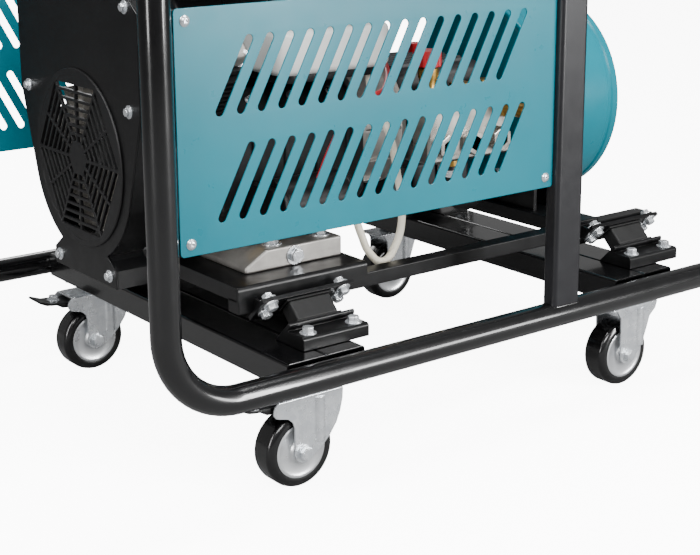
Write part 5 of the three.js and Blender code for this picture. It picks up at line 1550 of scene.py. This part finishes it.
    def _hose(self) -> None:
        """Run the suction hose from the drum to the pump head, with a clip at each end."""
        px, py = self.pump_x[0] + 75, self.head_y[0] + 30
        route = [(px, py, 332.7), (px, py, 312), (px + 5, py + 1, 294), (px + 18, py + 5, 277),
                 (px + 40, py + 12, 268),
                 (px + 66, py + 22, 268), (px + 92, py + 34, 278), (px + 112, py + 42, 287),
                 (self.drum_x[0] - 9, py + 44, 289), (self.drum_x[0] - 0.3, py + 44, 289)]
        Shape().hose(route, 12.0, 28, 6).piece("suction_hose_run", "frame", BLACK_NYLON, ("suction_hose",))
        clips = Shape()
        band = [(12.2, -5), (13.4, -5), (13.4, 5), (12.2, 5)]
        clips.lathe(band, shifted(px, py, 322), 36)
        clips.lathe(band, aimed((self.drum_x[0] - 9, py + 43.8, 289), (1, 0, 0)), 36)
        clips.rod(3.6, 12, aimed((px - 16, py - 6, 322), (0, 1, 0)), 16, 0.5)
        clips.piece("hose_clips", "frame", ZINC)


def screw_cap(at: Point, radius: float, height: float, name: str, body: str, node: str) -> None:
    """Mould a ribbed screw cap.

    Args:
        at: the middle of its underside.
        radius: its outer radius.
        height: how tall it is.
        name: the piece's name.
        body: the body it moves with.
        node: the CAD node it stands for.
    """
    outline = [(at[0] + (radius - 1.5 * (i % 2)) * math.cos(math.radians(a)),
                at[1] + (radius - 1.5 * (i % 2)) * math.sin(math.radians(a)))
               for i, a in enumerate([7.5 * k for k in range(48)])]
    shape = Shape().prism(outline, height - 3, shifted(0, 0, at[2]), 0.8, 2, 60.0)
    shape.lathe([(0, height - 4), (radius - 2, height - 4), (radius - 3, height - 1.2), (radius - 6, height),
                 (radius - 12, height), (radius - 13, height - 1.2), (0, height - 1.2)], shifted(*at), 48)
    shape.piece(name, body, BLACK_NYLON, (node,))


# ---------------------------------------------------------------- tank, controls, battery


@dataclass
class Services:
    """The fuel tank, the control panel with its fittings, and the battery."""

    tank_x: tuple[float, float] = (-330.0, 100.0)
    tank_half: float = 210.0
    tank_z: tuple[float, float] = (700.0, 847.7)
    flange: float = 55.0
    panel_x: tuple[float, float] = (-84.0, 122.0)
    panel_z: tuple[float, float] = (652.0, 792.0)
    face: float = -327.2
    depth: float = 42.0
    battery_x: tuple[float, float] = (-114.0, 58.0)
    battery_y: tuple[float, float] = (196.0, 318.0)
    battery_z: float = 272.0

    def build(self) -> None:
        """Make the tank, controls and battery."""
        self._tank()
        self._panel()
        self._gauge()
        self._switches()
        self._battery()

    def _tank(self) -> None:
        """Press the tank from two halves with a rolled flange."""
        (x0, x1), half, (z0, z1) = self.tank_x, self.tank_half, self.tank_z
        shape = Shape().prism(rounded(x0, x1, -half, half, 34.0, 8), z1 - z0 - 2, shifted(0, 0, z0), 10.0, 5)
        shape.prism(rounded(x0 - self.flange, x1 + self.flange, -half - 12, half + 12, 36.0, 8), 6.6,
                    shifted(0, 0, z1 - 7), 2.0, 3)
        for dx in (-120, 0, 120):
            middle = (x0 + x1) / 2 + dx
            shape.box((middle - 8, -half - 2, z0 + 22), (middle + 8, half + 2, z1 - 20), 3.0, 3)
        middle = (x0 + x1) / 2
        shape.lathe([(0, -2), (30, -2), (26, 1), (26, 4), (0, 4)], shifted(middle, 0, z1), 40)
        shape.piece("fuel_tank_pressing", "frame", FRAME_BLACK, ("fuel_tank",))
        screw_cap((middle, 0, z1 + 4.3), 33, 22, "fuel_screw_cap", "tank_cap", "fuel_cap")

    def _panel(self) -> None:
        """Fold the control panel's box and screw its corners."""
        (x0, x1), (z0, z1) = self.panel_x, self.panel_z
        shape = Shape()
        shape.sheet(rounded(x0, x1, z0, z1, 10.0), [], 2.0,
                    shifted(0, self.face + 2.0, 0) @ Along.NEAR.value, 0.6)
        shape.sheet(rounded(x0, x1, z0, z1, 10.0), [rounded(x0 + 2, x1 - 2, z0 + 2, z1 - 2, 8.0)],
                    self.depth - 2,
                    shifted(0, self.face + self.depth, 0) @ Along.NEAR.value, 0.4)
        shape.piece("control_panel_box", "frame", POST_CHARCOAL, ("control_panel",))
        screws = Shape()
        for x in (x0 + 9, 66.0):
            for z in (z0 + 9, z1 - 9):
                screws.screw((x, self.face, z), (0, -1, 0), 4.5)
        screws.piece("control_panel_screws", "frame", ZINC)

    def _gauge(self) -> None:
        """Build the pressure gauge: case, white card, ticks and needle."""
        at = (self.panel_x[0] + 46, self.face - 0.3, self.panel_z[1] - 44)
        place = aimed(at, (0, -1, 0))
        case = Shape().lathe([(0, 0), (31, 0), (31, 13), (29.5, 16.5), (27, 16.5), (26.4, 13.4), (0, 13.4)],
                             place, 56)
        case.piece("gauge_case", "frame", STEEL, ("pressure_gauge",))
        Shape().lathe([(0, 13.5), (26.2, 13.5), (26.2, 13.9), (0, 13.9)], place, 48).piece(
            "gauge_card", "frame", GAUGE_CARD)
        marks = Shape()
        for i in range(11):
            turn = Matrix.Rotation(math.radians(225 - 27 * i), 4, "Z")
            marks.box((18.5, -0.5, 13.8), (23.5, 0.5, 14.2), 0.1, 1, place @ turn)
        marks.box((-5, -0.7, 14.3), (17, 0.7, 14.9), 0.2, 1,
                  place @ Matrix.Rotation(math.radians(225), 4, "Z"))
        marks.rod(2.4, 1.4, place @ shifted(0, 0, 13.9), 20, 0.3)
        marks.piece("gauge_marks", "frame", BLACK_NYLON)

    def _switches(self) -> None:
        """Make the key switch, throttle lever and choke knob on their bodies."""
        face = self.face - 0.3
        key_x, key_z = self.panel_x[0] + 122, self.panel_z[1] - 48
        key = Shape().lathe([(0, 0), (12, 0), (12, 7), (10.5, 10), (0, 10)],
                            aimed((key_x, face, key_z), (0, -1, 0)), 36)
        key.box((key_x - 1.2, face - 28, key_z - 3.5), (key_x + 1.2, face - 9, key_z + 3.5), 0.4)
        key.prism(rounded(-9, 9, -10, 10, 5.0), 2.6,
                  Matrix.Translation((key_x - 1.3, face - 22,
                                      key_z)) @ Matrix.Scale(0.62, 4, (0, 1, 0)) @ Along.X.value, 0.6)
        key.piece("ignition_key", "key", STEEL, ("key_switch",))
        lever_x, lever_z = self.panel_x[0] + 96, self.panel_z[0] + 36
        lever = Shape().lathe([(0, 0), (11, 0), (11, 4.5), (9.5, 6), (0, 6)],
                              aimed((lever_x, face, lever_z), (0, -1, 0)), 36)
        lever.box((lever_x - 3.6, face - 5, lever_z), (lever_x + 3.6, face - 2, lever_z + 40), 0.8)
        lever.lathe([(0, 2), (5, 2), (6, 8), (8, 13), (8, 18), (6, 20), (0, 20)],
                    aimed((lever_x, face, lever_z + 40), (0, -1, 0)), 32)
        lever.piece("throttle_hand_lever", "throttle", BLACK_NYLON, ("throttle_lever",))
        choke_x = self.panel_x[0] + 38
        choke = Shape().lathe([(0, -38), (3.9, -38), (3.9, 0), (9, 0.4), (9, 6), (13, 9), (13, 14),
                               (11, 16), (0, 16)],
                              aimed((choke_x, face, lever_z), (0, -1, 0)), 36)
        choke.piece("choke_pull_knob", "choke", BLACK_NYLON, ("choke_knob",))

    def _battery(self) -> None:
        """Mould the battery and fold its tray and strap."""
        (x0, x1), (y0, y1), z = self.battery_x, self.battery_y, self.battery_z
        case = Shape().box((x0, y0, z + 0.3), (x1, y1, z + 126), 3.0, 3)
        case.box((x0 - 0.0, y0, z + 128), (x1, y1, z + 158), 3.0, 3)
        case.box((x0 + 3, y0 + 3, z + 120), (x1 - 3, y1 - 3, z + 134), 0.5)
        for i in range(6):
            case.rod(8, 3, shifted(x0 + 18 + i * 27, y1 - 40, z + 157.3), 24, 0.8)
        case.piece("battery_case", "frame", BLACK_NYLON, ("battery",))
        posts = Shape()
        for x in (x0 + 22, x1 - 22):
            posts.rod(8, 12, shifted(x, y0 + 24, z + 158.3), 28, 1.2, 7.0)
        posts.piece("battery_terminals", "frame", STEEL)
        tray = Shape().box((x0 - 4, y0 - 4, z - 4), (74.7, y1 + 4, z), 0.8)
        tray.box((70.7, y0 - 4, z - 4), (74.7, 338, z + 60), 0.8)
        tray.box((x0 - 4, y0 - 4, z - 4), (74.7, y0 - 1, z + 22), 0.8)
        tray.piece("battery_tray_fold", "frame", SHEET_BLACK, ("battery_tray",))


def main() -> None:
    """Build the machine."""
    logging.basicConfig(level=logging.INFO, format="%(name)s %(message)s")
    casters = [Caster("front_near", -290, -277, True), Caster("front_far", -290, 277, True),
               Caster("rear_near", 306, -277, False), Caster("rear_far", 306, 277, False)]
    assemblies = [Studio(), TubeFrame(), *[SidePanel(side) for side in Side], *casters, Cradle(), Engine(),
                  PumpSet(), Services()]
    for assembly in assemblies:
        assembly.build()
        LOG.info("built %s", type(assembly).__name__)


if __name__ == "__main__":
    main()
